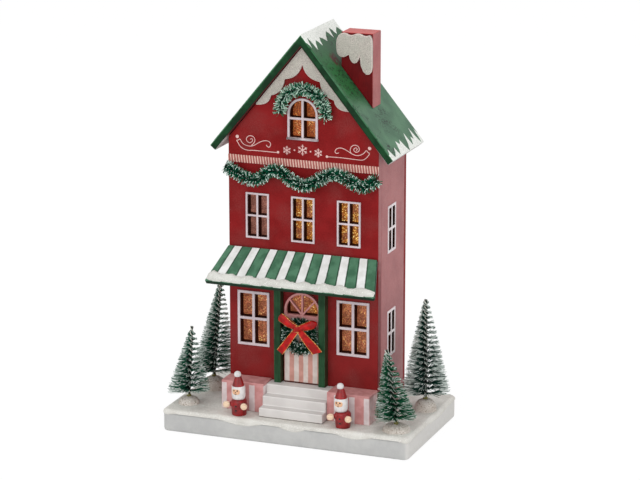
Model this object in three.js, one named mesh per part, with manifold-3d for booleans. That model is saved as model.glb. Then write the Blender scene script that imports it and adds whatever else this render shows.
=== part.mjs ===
// A lighted wooden Christmas house on a snowy base, as separate solid pieces in millimetres.
// X runs to the right as seen from the front, the front faces -Y and Z is up.
// The origin is the centre of the base board's underside.
import * as THREE from 'three';
import { mergeVertices } from 'three/addons/utils/BufferGeometryUtils.js';
import Module from 'manifold-3d';

const wasm = await Module();
wasm.setup();

// Gap between pieces that don't lie flat against each other
const fit = 0.3;

// Base
const baseWidth = 239.4;
const baseDepth = 136.9;
const baseCorner = 4;
const boardThickness = 18;
const pasteThickness = 3;
const ground = boardThickness + pasteThickness;

// House body
const houseWidth = 145;
const houseDepth = 74;
const houseCentre = 3;
const houseSetback = 43.25;
const wallThickness = 5;
const frontThickness = 8;
const wallHeight = 252;
const frontY = -baseDepth / 2 + houseSetback;
const backY = frontY + houseDepth;
const leftX = houseCentre - houseWidth / 2;
const rightX = houseCentre + houseWidth / 2;
const eavesZ = ground + wallHeight;

// Roof
const roofPitch = THREE.MathUtils.degToRad(50.6);
const roofThickness = 7;
const eaveReach = 15.9;
const roofFrontReach = 6;
const roofBackReach = 3.5;
const rise = Math.tan(roofPitch);
const roofDepthZ = roofThickness / Math.cos(roofPitch);
const apexInside = eavesZ + rise * houseWidth / 2;
const ridgeZ = apexInside + roofDepthZ;
const slantFit = fit / Math.cos(roofPitch);

// Chimney on the right slope, and the snow board on its front
const chimneyWidth = 30.2;
const chimneyDepth = 20.8;
const chimneyOffset = 27;
const chimneySetback = 25.5;
const chimneyBelowRidge = 1.2;
const chimneySnowThickness = 3;
const chimneySnowOverhang = 3.9;
const snowShoulder = 10;
const snowNotch = 19.6;
const leftLobe = 22.4;
const middleLobe = 29.8;
const rightLobe = 40.6;
const snowEdge = 1.2;
const snowEdgeWave = 1.8;
// Where the snow board's wavy upper edge crosses its middle line, as shares of its width
const snowEdgeStops = [0.9, 0.72, 0.5, 0.3];

// Gable
const gableSnowThickness = 2;
// Snow board under the gable's edges: lobes between pointed notches, each notch at a distance from the
// gable's middle and a drop below its apex, with the point that pulls the lobe after it outwards
const gableLobes = [
  { half: 0, drop: 16.7, pullHalf: 3, pullDrop: 29.8 },
  { half: 16.8, drop: 31.4, pullHalf: 18.5, pullDrop: 44.8 },
  { half: 30.1, drop: 47.1, pullHalf: 31.5, pullDrop: 56.8 },
];
const gableSnowEnd = { half: 44.6, drop: 56.6 };
const gableWindowWidth = 29;
const gableWindowHeight = 38.2;
const gableWindowAboveEaves = 2.3;
const gableTransom = 19.4;
const gableSillReach = 0.4;
const gableSillHeight = 2;
const trimThickness = 0.8;
const trimHeight = 6.9;
const trimBelowEaves = 16.2;

// Window frames lie on the wall and lap its holes; the front wall has a hole for each pane
const frameThickness = 1.2;
const frameLap = 1.2;
const paneLap = 0.2;
const gableBar = 2;
const upperWindow = { width: 22.5, height: 42.4, sill: 159.2, edge: 17, bar: 1.6 };
const lowerWindow = { width: 31.3, height: 51.6, sill: 57, edge: 8.3, bar: 2.3 };
const sideWindow = { width: 21, height: 44, sills: [51, 149.5], behind: 34.6, bar: 2.3 };

// Glitter sheet behind the front wall
const filmThickness = 0.6;
const filmMargin = 5;

// Steps, porch boxes, door and posts
const stepCount = 3;
const stepWidth = 62;
const stepRise = 8.75;
const stepTread = 9.2;
const landingDepth = 14.6;
const landingZ = ground + stepCount * stepRise;
const porchBoxDepth = 21.4;
const porchBoxHeight = 27.5;
const doorWidth = 34.8;
const doorHeight = 86.2;
const doorThickness = 3;
const doorRim = 1.9;
const doorSpoke = 1.4;
const fanSillBelowSpring = 3.6;
const spokeAngle = THREE.MathUtils.degToRad(48.5);
const postWidth = 6.8;
const postDepth = 8;
const postInner = 18.3;
const postShift = -0.8;

// Awning
const awningThickness = 4;
const awningTop = 151;
const awningReach = 34.4;
const awningDrop = 26.3;
const awningTopHalf = 72.2;
const awningLowHalf = 82.1;
const awningCorner = 2.5;
const awningSnowThickness = 2.2;
const awningSnowWidth = 7.6;
const awningSnowBack = 1.6;
const awningSnowLobe = 2.6;
const awningSnowLobes = 9;

// Garlands
const garlandRadius = 6;
const swagEnd = 73;
const swagBelowEaves = 26;
const swagDip = 11;
// Waves of the swag: share of its half length, and share of its dip
const swagWaves = [[-1, 0], [-0.63, 1], [-0.33, 0], [0.04, 1.1], [0.44, -0.1], [0.8, 0.75], [1, 0.1]];
const archRadius = 21.6;
const archStart = THREE.MathUtils.degToRad(185);
const archSweep = THREE.MathUtils.degToRad(194);
const archPoints = 9;
const archCentreShift = 2;
const archAboveEaves = 27.5;
const wreathRadius = 12;
const wreathTube = 5.3;
const wreathFlat = 0.72;
const wreathShift = -0.6;
const wreathAboveLanding = 46.2;

// Ribbon bow on the wreath
const ribbonWidth = 7;
const loopThickness = 3;
const tailThickness = 0.8;
const knotSize = 6.6;
const knotThickness = 4;
const knotAboveWreath = 9.2;
const knotShift = -0.4;
const bowLoops = [{ angle: 151.5, length: 20 }, { angle: 20, length: 18.5 }];
const bowTails = [{ angle: -126.5, length: 30.5 }, { angle: -49.5, length: 28.5 }];

// Bottle-brush trees, each placed from the base's side and front edges, with its tip's lean along X
const brushCore = 1.3;
const brushPitch = 5.8;
const brushFoot = 3.5;
const brushTip = 1.5;
const strandRoot = 0.5;
const strandTip = 0.28;
const strandShortest = 1.8;
const strandTaper = 0.92;
const strandsPerTurn = 7;
const strandStray = 0.37;
const lowestRise = THREE.MathUtils.degToRad(8);
const highestRise = THREE.MathUtils.degToRad(4);
const moundTop = 2.6;
const leftFrontTree = { fromSide: 16.1, fromFront: 24.95, radius: 20.2, height: 67.8, lean: 3.9 };
const leftBackTree = { fromSide: 20.1, fromFront: 74.95, radius: 21.5, height: 93.2, lean: 7.7 };
const rightFrontTree = { fromSide: 17.5, fromFront: 18.85, radius: 19.4, height: 68.5, lean: -9.8 };
const rightBackTree = { fromSide: 12.3, fromFront: 84.25, radius: 23, height: 94.8, lean: -0.5 };
const leftFrontMound = { radius: 10, height: 7 };
const leftBackMound = { radius: 12, height: 12 };
const rightFrontMound = { radius: 13, height: 6.5 };
const rightBackMound = { radius: 10.5, height: 11 };
const trees = [
  { name: 'left_front', side: -1, tree: leftFrontTree, mound: leftFrontMound },
  { name: 'left_back', side: -1, tree: leftBackTree, mound: leftBackMound },
  { name: 'right_front', side: 1, tree: rightFrontTree, mound: rightFrontMound },
  { name: 'right_back', side: 1, tree: rightBackTree, mound: rightBackMound },
];

// Peg figures, turned on a lathe
const leftFigureFromSteps = 19.2;
const rightFigureFromSteps = 20.1;
const figureFromBoxes = 11.4;
// How far along X each figure's head, hat and bobble are glued off its body's middle
const leftFigureLean = { head: -0.5, hat: -0.7, bobble: -1.3 };
const rightFigureLean = { head: -1.9, hat: -1.9, bobble: -2.6 };
const figureTurn = THREE.MathUtils.degToRad(-3);
const pegRound = 0.8;
const bodyHeight = 15.1;
const shoulderSlope = 2;
const bodyFoot = 6.7;
const bodyShoulder = 7.4;
const headHeight = 13.1;
const headRadius = 6.3;
const headFlat = 4.9;
const hatHeight = 7.6;
const hatTip = 2.8;
const bobbleRadius = 3.2;
const bobbleSink = 0.8;
const armRadius = 2.5;
const armReach = 8.8;
const armHeight = 11;
const armSpread = THREE.MathUtils.degToRad(46);
const handRadius = 3.1;

// Battery holder in the back wall, its cover, cells and switch
const cellRadius = 7.1;
const cellBody = 49.2;
const nubRadius = 2.75;
const nubLength = 1.3;
const contactPad = 1.5;
const contactSpring = 5.4;
const springRadius = 4;
const holderWall = 2;
const holderAboveGround = 37;
const flangeThickness = 1.6;
const flangeLap = 3.5;
const coverThickness = 1.8;
const coverLap = 1.5;
const railWidth = 2;
const railLip = 1.2;
const stopWidth = 1.2;
const gripRibs = 5;
const gripRibHeight = 0.8;
const gripRibWidth = 1;
const gripRibPitch = 2.2;
const gripRibInset = 6;
const switchBay = 14;
const switchTravel = 3.5;
const knobLength = 4.4;
const knobWidth = 3;
const knobProud = 2.2;
const knobFoot = 1.5;
const knobFootLap = 1.5;

// Lamp board inside, and its lead
const lampBoardWidth = 10;
const lampBoardThickness = 1.6;
const lampRadius = 2.5;
const lampSpacing = 28;
const lampCount = 8;
const lampBoardAboveHolder = 16;
const leadRadius = 0.7;
const leadShift = 15;
const leadSlack = 2;
const leadStraight = 3;

// Finishes
function paint(color, roughness, metalness = 0) {
  return new THREE.MeshStandardMaterial({ color, roughness, metalness });
}
const finish = {
  board: () => paint('#c6c5c3', 0.8),
  snow: () => paint('#e2dfda', 0.9),
  red: () => paint('#86232a', 0.5),
  chimneyRed: () => paint('#7a1a1e', 0.5),
  roofGreen: () => paint('#3a6b48', 0.5),
  darkGreen: () => paint('#1f5230', 0.5),
  awningGreen: () => paint('#47795a', 0.6),
  lilacWhite: () => paint('#dccdd3', 0.6),
  pink: () => paint('#d59a96', 0.6),
  steps: () => paint('#d9d5d2', 0.7),
  tinsel: () => paint('#2f6a55', 0.7),
  ribbon: () => paint('#c81e1a', 0.35),
  brush: () => paint('#1f5c46', 0.7),
  suit: () => paint('#a81c24', 0.3),
  face: () => paint('#e8e4e2', 0.4),
  bareWood: () => paint('#e2c49a', 0.6),
  film: () => paint('#c9853a', 0.3),
  plastic: () => paint('#e9e7e2', 0.45),
  darkPlastic: () => paint('#1b1b1d', 0.4),
  cell: () => paint('#2b2b2e', 0.35, 0.6),
  lampBoard: () => paint('#f0ead8', 0.5),
};

// Geometry helpers
function closed(geometry) {
  const bare = geometry.clone();
  for (const name of Object.keys(bare.attributes)) {
    if (name !== 'position') bare.deleteAttribute(name);
  }
  const merged = mergeVertices(bare, 1e-4);
  const index = merged.index.array;
  const kept = [];
  for (let i = 0; i < index.length; i += 3) {
    const [a, b, c] = index.slice(i, i + 3);
    if (a !== b && b !== c && c !== a) kept.push(a, b, c);
  }
  merged.setIndex(kept);
  return merged;
}

function solid(geometry) {
  const shell = closed(geometry);
  return new wasm.Manifold(new wasm.Mesh({
    numProp: 3,
    vertProperties: new Float32Array(shell.attributes.position.array),
    triVerts: new Uint32Array(shell.index.array),
  }));
}

function geometryOf(manifold) {
  const mesh = manifold.getMesh();
  const geometry = new THREE.BufferGeometry();
  geometry.setAttribute('position', new THREE.BufferAttribute(mesh.vertProperties, 3));
  geometry.setIndex(new THREE.BufferAttribute(mesh.triVerts, 1));
  return geometry;
}

function join(geometries) {
  return geometryOf(geometries.map(solid).reduce((sum, next) => sum.add(next)));
}

function cut(geometry, cutters) {
  return geometryOf(cutters.map(solid).reduce((rest, next) => rest.subtract(next), solid(geometry)));
}

function outline(points) {
  return new THREE.Shape(points.map(([a, b]) => new THREE.Vector2(a, b)));
}

function rectangle(low, high, bottom, top) {
  return outline([[low, bottom], [high, bottom], [high, top], [low, top]]);
}

function extruded(shape, depth, curveSegments = 10) {
  return new THREE.ExtrudeGeometry(shape, { depth, bevelEnabled: false, curveSegments });
}

// Moves every corner of a geometry to the point that a rule gives for it
function reshaped(geometry, rule) {
  const corners = geometry.attributes.position;
  for (let i = 0; i < corners.count; i += 1) {
    corners.setXYZ(i, ...rule(corners.getX(i), corners.getY(i), corners.getZ(i)));
  }
  return geometry;
}

// An outline in X and Z, as a plate from yLow to yHigh
function plateAcross(shape, yLow, yHigh, curveSegments) {
  return reshaped(extruded(shape, 1, curveSegments), (x, z, depth) => [x, depth > 0.5 ? yLow : yHigh, z]);
}

function piercedAcross(shape, holes, yLow, yHigh, curveSegments) {
  const cutters = holes.map((hole) => plateAcross(hole, yLow - 1, yHigh + 1, curveSegments));
  return cut(plateAcross(shape, yLow, yHigh, curveSegments), cutters);
}

// An outline in Y and Z, as a plate from xLow to xHigh
function plateAlong(shape, xLow, xHigh) {
  return reshaped(extruded(shape, 1), (y, z, depth) => [depth > 0.5 ? xHigh : xLow, y, z]);
}

function piercedAlong(shape, holes, xLow, xHigh) {
  const cutters = holes.map((hole) => plateAlong(hole, xLow - 1, xHigh + 1));
  return cut(plateAlong(shape, xLow, xHigh), cutters);
}

// An outline in X and Y, as a slab from zLow to zHigh
function slab(shape, zLow, zHigh, curveSegments) {
  return reshaped(extruded(shape, 1, curveSegments), (x, y, depth) => [x, y, depth > 0.5 ? zHigh : zLow]);
}

function block(xLow, xHigh, yLow, yHigh, zLow, zHigh) {
  return reshaped(new THREE.BoxGeometry(1, 1, 1), (x, y, z) => [
    x > 0 ? xHigh : xLow,
    y > 0 ? yHigh : yLow,
    z > 0 ? zHigh : zLow,
  ]);
}

// A turned shape about Z, from points of radius and height that start and end on the axis
function turned(points, sides = 16) {
  const profile = points.map(([radius, height]) => new THREE.Vector2(radius, height));
  return new THREE.LatheGeometry(profile, sides).rotateX(Math.PI / 2);
}

function tube(points, radius, steps, sides = 8) {
  const ring = [];
  for (let i = 0; i < sides; i += 1) {
    const angle = 2 * Math.PI * i / sides;
    ring.push([radius * Math.cos(angle), radius * Math.sin(angle)]);
  }
  const extrudePath = new THREE.CatmullRomCurve3(points);
  return new THREE.ExtrudeGeometry(outline(ring), { extrudePath, steps, bevelEnabled: false });
}

const house = new THREE.Group();

function add(name, geometry, material) {
  const mesh = new THREE.Mesh(closed(geometry), material);
  mesh.name = name;
  house.add(mesh);
}

// Height of the roof's underside above a point across the house
function undersideZ(x) {
  return apexInside - rise * Math.abs(x - houseCentre);
}

// Base
function roundedPlan(width, depth, corner) {
  const shape = new THREE.Shape();
  const x = width / 2 - corner;
  const y = depth / 2 - corner;
  shape.absarc(x, y, corner, 0, Math.PI / 2);
  shape.absarc(-x, y, corner, Math.PI / 2, Math.PI);
  shape.absarc(-x, -y, corner, Math.PI, 1.5 * Math.PI);
  shape.absarc(x, -y, corner, 1.5 * Math.PI, 2 * Math.PI);
  return shape;
}

function buildBase() {
  const plan = roundedPlan(baseWidth, baseDepth, baseCorner);
  add('base_board', slab(plan, 0, boardThickness, 4), finish.board());
  add('base_snow', slab(plan, boardThickness, ground, 4), finish.snow());
}

// Window frames and the openings behind them
function panesOf({ width, height, bar }, centre, bottom, lap) {
  const inner = width / 2 - bar + lap;
  const rail = bar / 2 - lap;
  const middle = bottom + height / 2;
  return [-1, 1].flatMap((side) => {
    const [low, high] = [side * rail, side * inner].sort((a, b) => a - b);
    return [
      rectangle(centre + low, centre + high, bottom + bar - lap, middle - rail),
      rectangle(centre + low, centre + high, middle + rail, bottom + height - bar + lap),
    ];
  });
}

function frameParts(window) {
  return [rectangle(-window.width / 2, window.width / 2, 0, window.height), panesOf(window, 0, 0, 0)];
}

function opening(centre, sill, { width, height }) {
  const half = width / 2 - frameLap;
  return rectangle(centre - half, centre + half, sill + frameLap, sill + height - frameLap);
}

function archOutline(centre, bottom, half, height) {
  const shape = new THREE.Shape();
  shape.moveTo(centre - half, bottom);
  shape.lineTo(centre + half, bottom);
  shape.absarc(centre, bottom + height - half, half, 0, Math.PI);
  return shape;
}

function archPanes(centre, bottom, lap) {
  const half = gableWindowWidth / 2;
  const inner = half - gableBar + lap;
  const rail = gableBar / 2 - lap;
  const transom = bottom + gableTransom;
  const turn = Math.acos(rail / inner);
  return [-1, 1].flatMap((side) => {
    const [low, high] = [side * rail, side * inner].sort((a, b) => a - b);
    const head = new THREE.Shape();
    head.moveTo(centre + side * rail, transom + rail);
    head.lineTo(centre + side * inner, transom + rail);
    const from = side > 0 ? 0 : Math.PI;
    const to = side > 0 ? turn : Math.PI - turn;
    head.absarc(centre, bottom + gableWindowHeight - half, inner, from, to, side < 0);
    return [rectangle(centre + low, centre + high, bottom + gableBar - lap, transom - rail), head];
  });
}

const gableSillZ = eavesZ + gableWindowAboveEaves;
const upperOffset = houseWidth / 2 - upperWindow.edge - upperWindow.width / 2;
const lowerOffset = houseWidth / 2 - lowerWindow.edge - lowerWindow.width / 2;
const upperCentres = {
  left: houseCentre - upperOffset,
  middle: houseCentre,
  right: houseCentre + upperOffset,
};
const lowerCentres = { left: houseCentre - lowerOffset, right: houseCentre + lowerOffset };
const sideWindowY = frontY + sideWindow.behind;

function buildWindows() {
  const proud = frontY - frameThickness;
  const floors = [['upper', upperWindow, upperCentres], ['lower', lowerWindow, lowerCentres]];
  for (const [floor, window, centres] of floors) {
    for (const [side, x] of Object.entries(centres)) {
      const frame = piercedAcross(...frameParts(window), proud, frontY);
      add(`${floor}_window_frame_${side}`, frame.translate(x, 0, ground + window.sill), finish.lilacWhite());
    }
  }
  for (const [side, xLow] of [['left', leftX - frameThickness], ['right', rightX]]) {
    for (const [floor, sill] of [['lower', sideWindow.sills[0]], ['upper', sideWindow.sills[1]]]) {
      const frame = piercedAlong(...frameParts(sideWindow), xLow, xLow + frameThickness);
      frame.translate(0, sideWindowY, ground + sill);
      add(`side_window_frame_${side}_${floor}`, frame, finish.lilacWhite());
    }
  }
  const arch = archOutline(0, 0, gableWindowWidth / 2, gableWindowHeight);
  const sillHalf = gableWindowWidth / 2 + gableSillReach;
  const sill = block(-sillHalf, sillHalf, proud - frameThickness, frontY, 0, gableSillHeight);
  const frame = join([piercedAcross(arch, archPanes(0, 0, 0), proud, frontY, 8), sill]);
  add('gable_window_frame', frame.translate(houseCentre, 0, gableSillZ), finish.lilacWhite());
}

// Walls
const doorSpring = landingZ + doorHeight - doorWidth / 2;
const fanSill = doorSpring - fanSillBelowSpring;

function gableOutline() {
  return outline([
    [leftX, ground],
    [rightX, ground],
    [rightX, undersideZ(rightX) - slantFit],
    [houseCentre, apexInside - slantFit],
    [leftX, undersideZ(leftX) - slantFit],
  ]);
}

function fanOutline(margin) {
  const half = doorWidth / 2 - doorRim + margin;
  const low = fanSill - margin;
  const turn = Math.asin((doorSpring - low) / half);
  const shape = new THREE.Shape();
  shape.absarc(houseCentre, doorSpring, half, -turn, Math.PI + turn);
  return shape;
}

const holder = holderSizes();

function buildWalls() {
  const holes = (window) => (x) => panesOf(window, x, ground + window.sill, paneLap);
  const openings = [
    ...Object.values(upperCentres).flatMap(holes(upperWindow)),
    ...Object.values(lowerCentres).flatMap(holes(lowerWindow)),
    ...archPanes(houseCentre, gableSillZ, paneLap),
    fanOutline(fit),
  ];
  const front = piercedAcross(gableOutline(), openings, frontY, frontY + frontThickness, 8);
  add('front_wall', front, finish.red());

  const hatch = rectangle(holder.xLow - fit, holder.xHigh + fit, holder.zLow - fit, holder.zHigh + fit);
  add('back_wall', piercedAcross(gableOutline(), [hatch], backY - wallThickness, backY), finish.red());

  for (const [side, xLow] of [['left', leftX], ['right', rightX - wallThickness]]) {
    const top = undersideZ(leftX) - slantFit;
    const wall = rectangle(frontY + frontThickness, backY - wallThickness, ground, top);
    const windows = sideWindow.sills.map((sill) => opening(sideWindowY, ground + sill, sideWindow));
    add(`side_wall_${side}`, piercedAlong(wall, windows, xLow, xLow + wallThickness), finish.red());
  }

  const filmHalf = houseWidth / 2 - wallThickness - filmMargin;
  const filmTop = gableSillZ + gableWindowHeight + filmMargin;
  const film = outline([
    [houseCentre - filmHalf, ground + lowerWindow.sill - filmMargin],
    [houseCentre + filmHalf, ground + lowerWindow.sill - filmMargin],
    [houseCentre + filmHalf, eavesZ - filmMargin],
    [houseCentre + gableWindowWidth / 2 + filmMargin, filmTop],
    [houseCentre - gableWindowWidth / 2 - filmMargin, filmTop],
    [houseCentre - filmHalf, eavesZ - filmMargin],
  ]);
  const filmY = frontY + frontThickness;
  add('glitter_film', plateAcross(film, filmY, filmY + filmThickness), finish.film());
}

// Roof panels meet at an upright joint under the ridge
function buildRoof() {
  const yLow = frontY - roofFrontReach;
  const yHigh = backY + roofBackReach;
  const eaveX = houseWidth / 2 + eaveReach;
  const eaveZ = ridgeZ - rise * eaveX;
  const tip = [eaveX - roofThickness * Math.sin(roofPitch), eaveZ - roofThickness * Math.cos(roofPitch)];
  for (const [side, sign] of [['left', -1], ['right', 1]]) {
    const at = (x, z) => [houseCentre + sign * x, z];
    const panel = outline([at(0, ridgeZ), at(eaveX, eaveZ), at(...tip), at(0, apexInside)]);
    add(`roof_panel_${side}`, plateAcross(panel, yLow, yHigh), finish.roofGreen());
  }
}

const chimneyLow = houseCentre + chimneyOffset;
const chimneyHigh = chimneyLow + chimneyWidth;
const chimneyFront = frontY + chimneySetback;
const chimneyTop = ridgeZ - chimneyBelowRidge;

function roofTopZ(x) {
  return ridgeZ - rise * (x - houseCentre);
}

function buildChimney() {
  const shaft = outline([
    [chimneyLow, roofTopZ(chimneyLow) + slantFit],
    [chimneyHigh, roofTopZ(chimneyHigh) + slantFit],
    [chimneyHigh, chimneyTop],
    [chimneyLow, chimneyTop],
  ]);
  add('chimney', plateAcross(shaft, chimneyFront, chimneyFront + chimneyDepth), finish.chimneyRed());

  const width = chimneyWidth + chimneySnowOverhang;
  const left = chimneyLow - chimneySnowOverhang;
  const snow = new THREE.Shape();
  const at = (share, below) => [left + share * width, chimneyTop - below];
  snow.moveTo(...at(0, snowShoulder));
  snow.bezierCurveTo(...at(-0.01, snowNotch), ...at(0.04, leftLobe), ...at(0.2, leftLobe));
  snow.quadraticCurveTo(...at(0.3, leftLobe - snowEdge), ...at(0.35, snowNotch));
  snow.bezierCurveTo(...at(0.39, middleLobe), ...at(0.6, middleLobe), ...at(0.65, snowNotch + snowEdge));
  snow.bezierCurveTo(...at(0.68, rightLobe), ...at(1, rightLobe), ...at(1, middleLobe));
  snow.lineTo(...at(1, snowShoulder));
  snow.quadraticCurveTo(...at(1, snowEdge), ...at(snowEdgeStops[0], snowEdge));
  for (let i = 1; i < snowEdgeStops.length; i += 1) {
    const middle = (snowEdgeStops[i - 1] + snowEdgeStops[i]) / 2;
    const wave = i % 2 ? snowEdgeWave : -snowEdgeWave;
    snow.quadraticCurveTo(...at(middle, snowEdge + wave), ...at(snowEdgeStops[i], snowEdge));
  }
  snow.bezierCurveTo(...at(0.2, -snowEdge), ...at(0, snowEdge), ...at(0, snowShoulder));
  const board = plateAcross(snow, chimneyFront - chimneySnowThickness, chimneyFront, 6);
  add('chimney_snow', board, finish.snow());
}

// Snow board under the gable's edges, and the ribbed strip across the front
function buildGable() {
  const top = apexInside - 2 * slantFit;
  const stops = [...gableLobes, gableSnowEnd];
  const at = (half, drop) => [houseCentre + half, apexInside - drop];
  const snow = new THREE.Shape();
  snow.moveTo(houseCentre, top);
  snow.lineTo(houseCentre - gableSnowEnd.half, top - rise * gableSnowEnd.half);
  snow.lineTo(...at(-gableSnowEnd.half, gableSnowEnd.drop));
  for (const lobe of [...gableLobes].reverse()) {
    snow.quadraticCurveTo(...at(-lobe.pullHalf, lobe.pullDrop), ...at(-lobe.half, lobe.drop));
  }
  gableLobes.forEach((lobe, i) => {
    const next = stops[i + 1];
    snow.quadraticCurveTo(...at(lobe.pullHalf, lobe.pullDrop), ...at(next.half, next.drop));
  });
  snow.lineTo(houseCentre + gableSnowEnd.half, top - rise * gableSnowEnd.half);
  add('gable_snow', plateAcross(snow, frontY - gableSnowThickness, frontY, 6), finish.snow());

  const trimTop = eavesZ - trimBelowEaves;
  const trim = block(leftX, rightX, frontY - trimThickness, frontY, trimTop - trimHeight, trimTop);
  add('ribbon_trim', trim, finish.pink());
}

// Steps, boxes, door and posts
function buildPorch() {
  const landingFront = frontY - landingDepth;
  const profile = [[frontY, ground]];
  for (let i = 0; i < stepCount; i += 1) {
    const y = landingFront - (stepCount - 1 - i) * stepTread;
    profile.push([y, ground + i * stepRise], [y, ground + (i + 1) * stepRise]);
  }
  profile.push([frontY, landingZ]);
  const stepLeft = houseCentre - stepWidth / 2;
  const stepRight = houseCentre + stepWidth / 2;
  add('front_steps', plateAlong(outline(profile), stepLeft, stepRight), finish.steps());

  const boxFront = frontY - porchBoxDepth;
  const boxTop = ground + porchBoxHeight;
  add('porch_box_left', block(leftX, stepLeft, boxFront, frontY, ground, boxTop), finish.pink());
  add('porch_box_right', block(stepRight, rightX, boxFront, frontY, ground, boxTop), finish.pink());

  const yLow = frontY - doorThickness;
  const panel = plateAcross(archOutline(houseCentre, landingZ, doorWidth / 2, doorHeight), yLow, frontY);
  const spokes = [0, spokeAngle - Math.PI / 2, Math.PI / 2 - spokeAngle].map((angle) => {
    const length = doorWidth / 2 + fanSillBelowSpring - doorRim / 2;
    const spoke = block(-doorSpoke / 2, doorSpoke / 2, yLow, frontY, -doorRim / 2, length);
    return spoke.rotateY(angle).translate(houseCentre, 0, fanSill);
  });
  const fan = plateAcross(fanOutline(0), yLow - 1, frontY + 1);
  const inside = geometryOf(solid(panel).intersect(solid(join(spokes))));
  add('door_board', join([cut(panel, [fan]), inside]), finish.pink());

  const underTop = ground + awningTop + awning.undersideShift;
  const postTop = (y) => underTop + (y - awning.topY) * awningDrop / awningReach - fit / awning.cos;
  const post = outline([
    [frontY - postDepth, landingZ],
    [frontY, landingZ],
    [frontY, postTop(frontY)],
    [frontY - postDepth, postTop(frontY - postDepth)],
  ]);
  const middle = houseCentre + postShift;
  for (const [side, xLow] of [['left', middle - postInner - postWidth], ['right', middle + postInner]]) {
    add(`post_${side}`, plateAlong(post, xLow, xLow + postWidth), finish.darkGreen());
  }
}

// The awning is laid out on its own slope: u across the house, v down the slope
const awning = awningFrame();

function awningFrame() {
  const length = Math.hypot(awningReach, awningDrop);
  const cos = awningReach / length;
  const sin = awningDrop / length;
  const topY = frontY - fit - awningThickness * sin;
  const place = new THREE.Matrix4().makeBasis(
    new THREE.Vector3(1, 0, 0),
    new THREE.Vector3(0, -cos, -sin),
    new THREE.Vector3(0, sin, -cos),
  );
  place.setPosition(houseCentre, topY, ground + awningTop);
  return { length, cos, sin, topY, place, undersideShift: -awningThickness / cos };
}

function buildAwning() {
  const { length, place } = awning;
  const flare = (awningLowHalf - awningTopHalf) / length;
  const low = awningLowHalf - flare * awningCorner;
  const board = new THREE.Shape();
  board.moveTo(-awningTopHalf, 0);
  board.lineTo(awningTopHalf, 0);
  board.lineTo(low, length - awningCorner);
  board.quadraticCurveTo(awningLowHalf, length, awningLowHalf - awningCorner, length);
  board.lineTo(awningCorner - awningLowHalf, length);
  board.quadraticCurveTo(-awningLowHalf, length, -low, length - awningCorner);
  add('awning_board', extruded(board, awningThickness, 4).applyMatrix4(place), finish.awningGreen());

  const end = low - 1;
  const bottom = length - awningSnowBack;
  const top = bottom - awningSnowWidth;
  const pitch = 2 * end / awningSnowLobes;
  const snow = new THREE.Shape();
  snow.moveTo(-end, top + 1);
  for (let i = 0; i < awningSnowLobes; i += 1) {
    const start = -end + i * pitch;
    const lobe = awningSnowLobe * (1 + (i % 3) / 2);
    snow.quadraticCurveTo(start + pitch / 2, top - lobe, start + pitch, top + 1);
  }
  snow.lineTo(end + 0.5, bottom - awningCorner);
  snow.quadraticCurveTo(end + 0.5, bottom, end - awningCorner, bottom);
  snow.lineTo(awningCorner - end, bottom);
  snow.quadraticCurveTo(-end - 0.5, bottom, -end - 0.5, bottom - awningCorner);
  const paste = extruded(snow, awningSnowThickness, 4).translate(0, 0, -awningSnowThickness - fit);
  add('awning_snow', paste.applyMatrix4(place), finish.snow());
}

// Garlands are tinsel on wire, hung against the wall and the door
function buildGarlands() {
  const swagY = frontY - trimThickness - fit - garlandRadius;
  const high = eavesZ - swagBelowEaves;
  const swagPath = swagWaves.map(([share, dip]) => (
    new THREE.Vector3(houseCentre + share * swagEnd, swagY, high - dip * swagDip)));
  add('swag_garland', tube(swagPath, garlandRadius, 36), finish.tinsel());

  const archY = frontY - fit - garlandRadius;
  const arch = [];
  for (let i = 0; i < archPoints; i += 1) {
    const angle = archStart - archSweep * i / (archPoints - 1);
    const x = houseCentre + archCentreShift + archRadius * Math.cos(angle);
    arch.push(new THREE.Vector3(x, archY, eavesZ + archAboveEaves + archRadius * Math.sin(angle)));
  }
  add('gable_garland', tube(arch, garlandRadius, 16), finish.tinsel());

  const wreath = new THREE.TorusGeometry(wreathRadius, wreathTube, 8, 20).rotateX(Math.PI / 2);
  wreath.scale(1, wreathFlat, 1).translate(houseCentre + wreathShift, wreathY, landingZ + wreathAboveLanding);
  add('door_wreath', wreath, finish.tinsel());
}

const wreathY = frontY - doorThickness - fit - wreathFlat * wreathTube;

function buildBow() {
  const backOfBow = wreathY - wreathFlat * wreathTube - fit;
  const band = (length, thickness, angle) => {
    const strip = block(0, length, -thickness, 0, -ribbonWidth / 2, ribbonWidth / 2);
    return strip.rotateY(-THREE.MathUtils.degToRad(angle));
  };
  const pieces = [
    block(-knotSize / 2, knotSize / 2, -knotThickness, 0, -knotSize / 2, knotSize / 2),
    ...bowLoops.map(({ angle, length }) => band(length, loopThickness, angle)),
    ...bowTails.map(({ angle, length }) => band(length, tailThickness, angle)),
  ];
  const bow = join(pieces);
  bow.translate(houseCentre + knotShift, backOfBow, landingZ + wreathAboveLanding + knotAboveWreath);
  add('door_bow', bow, finish.ribbon());
}

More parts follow.
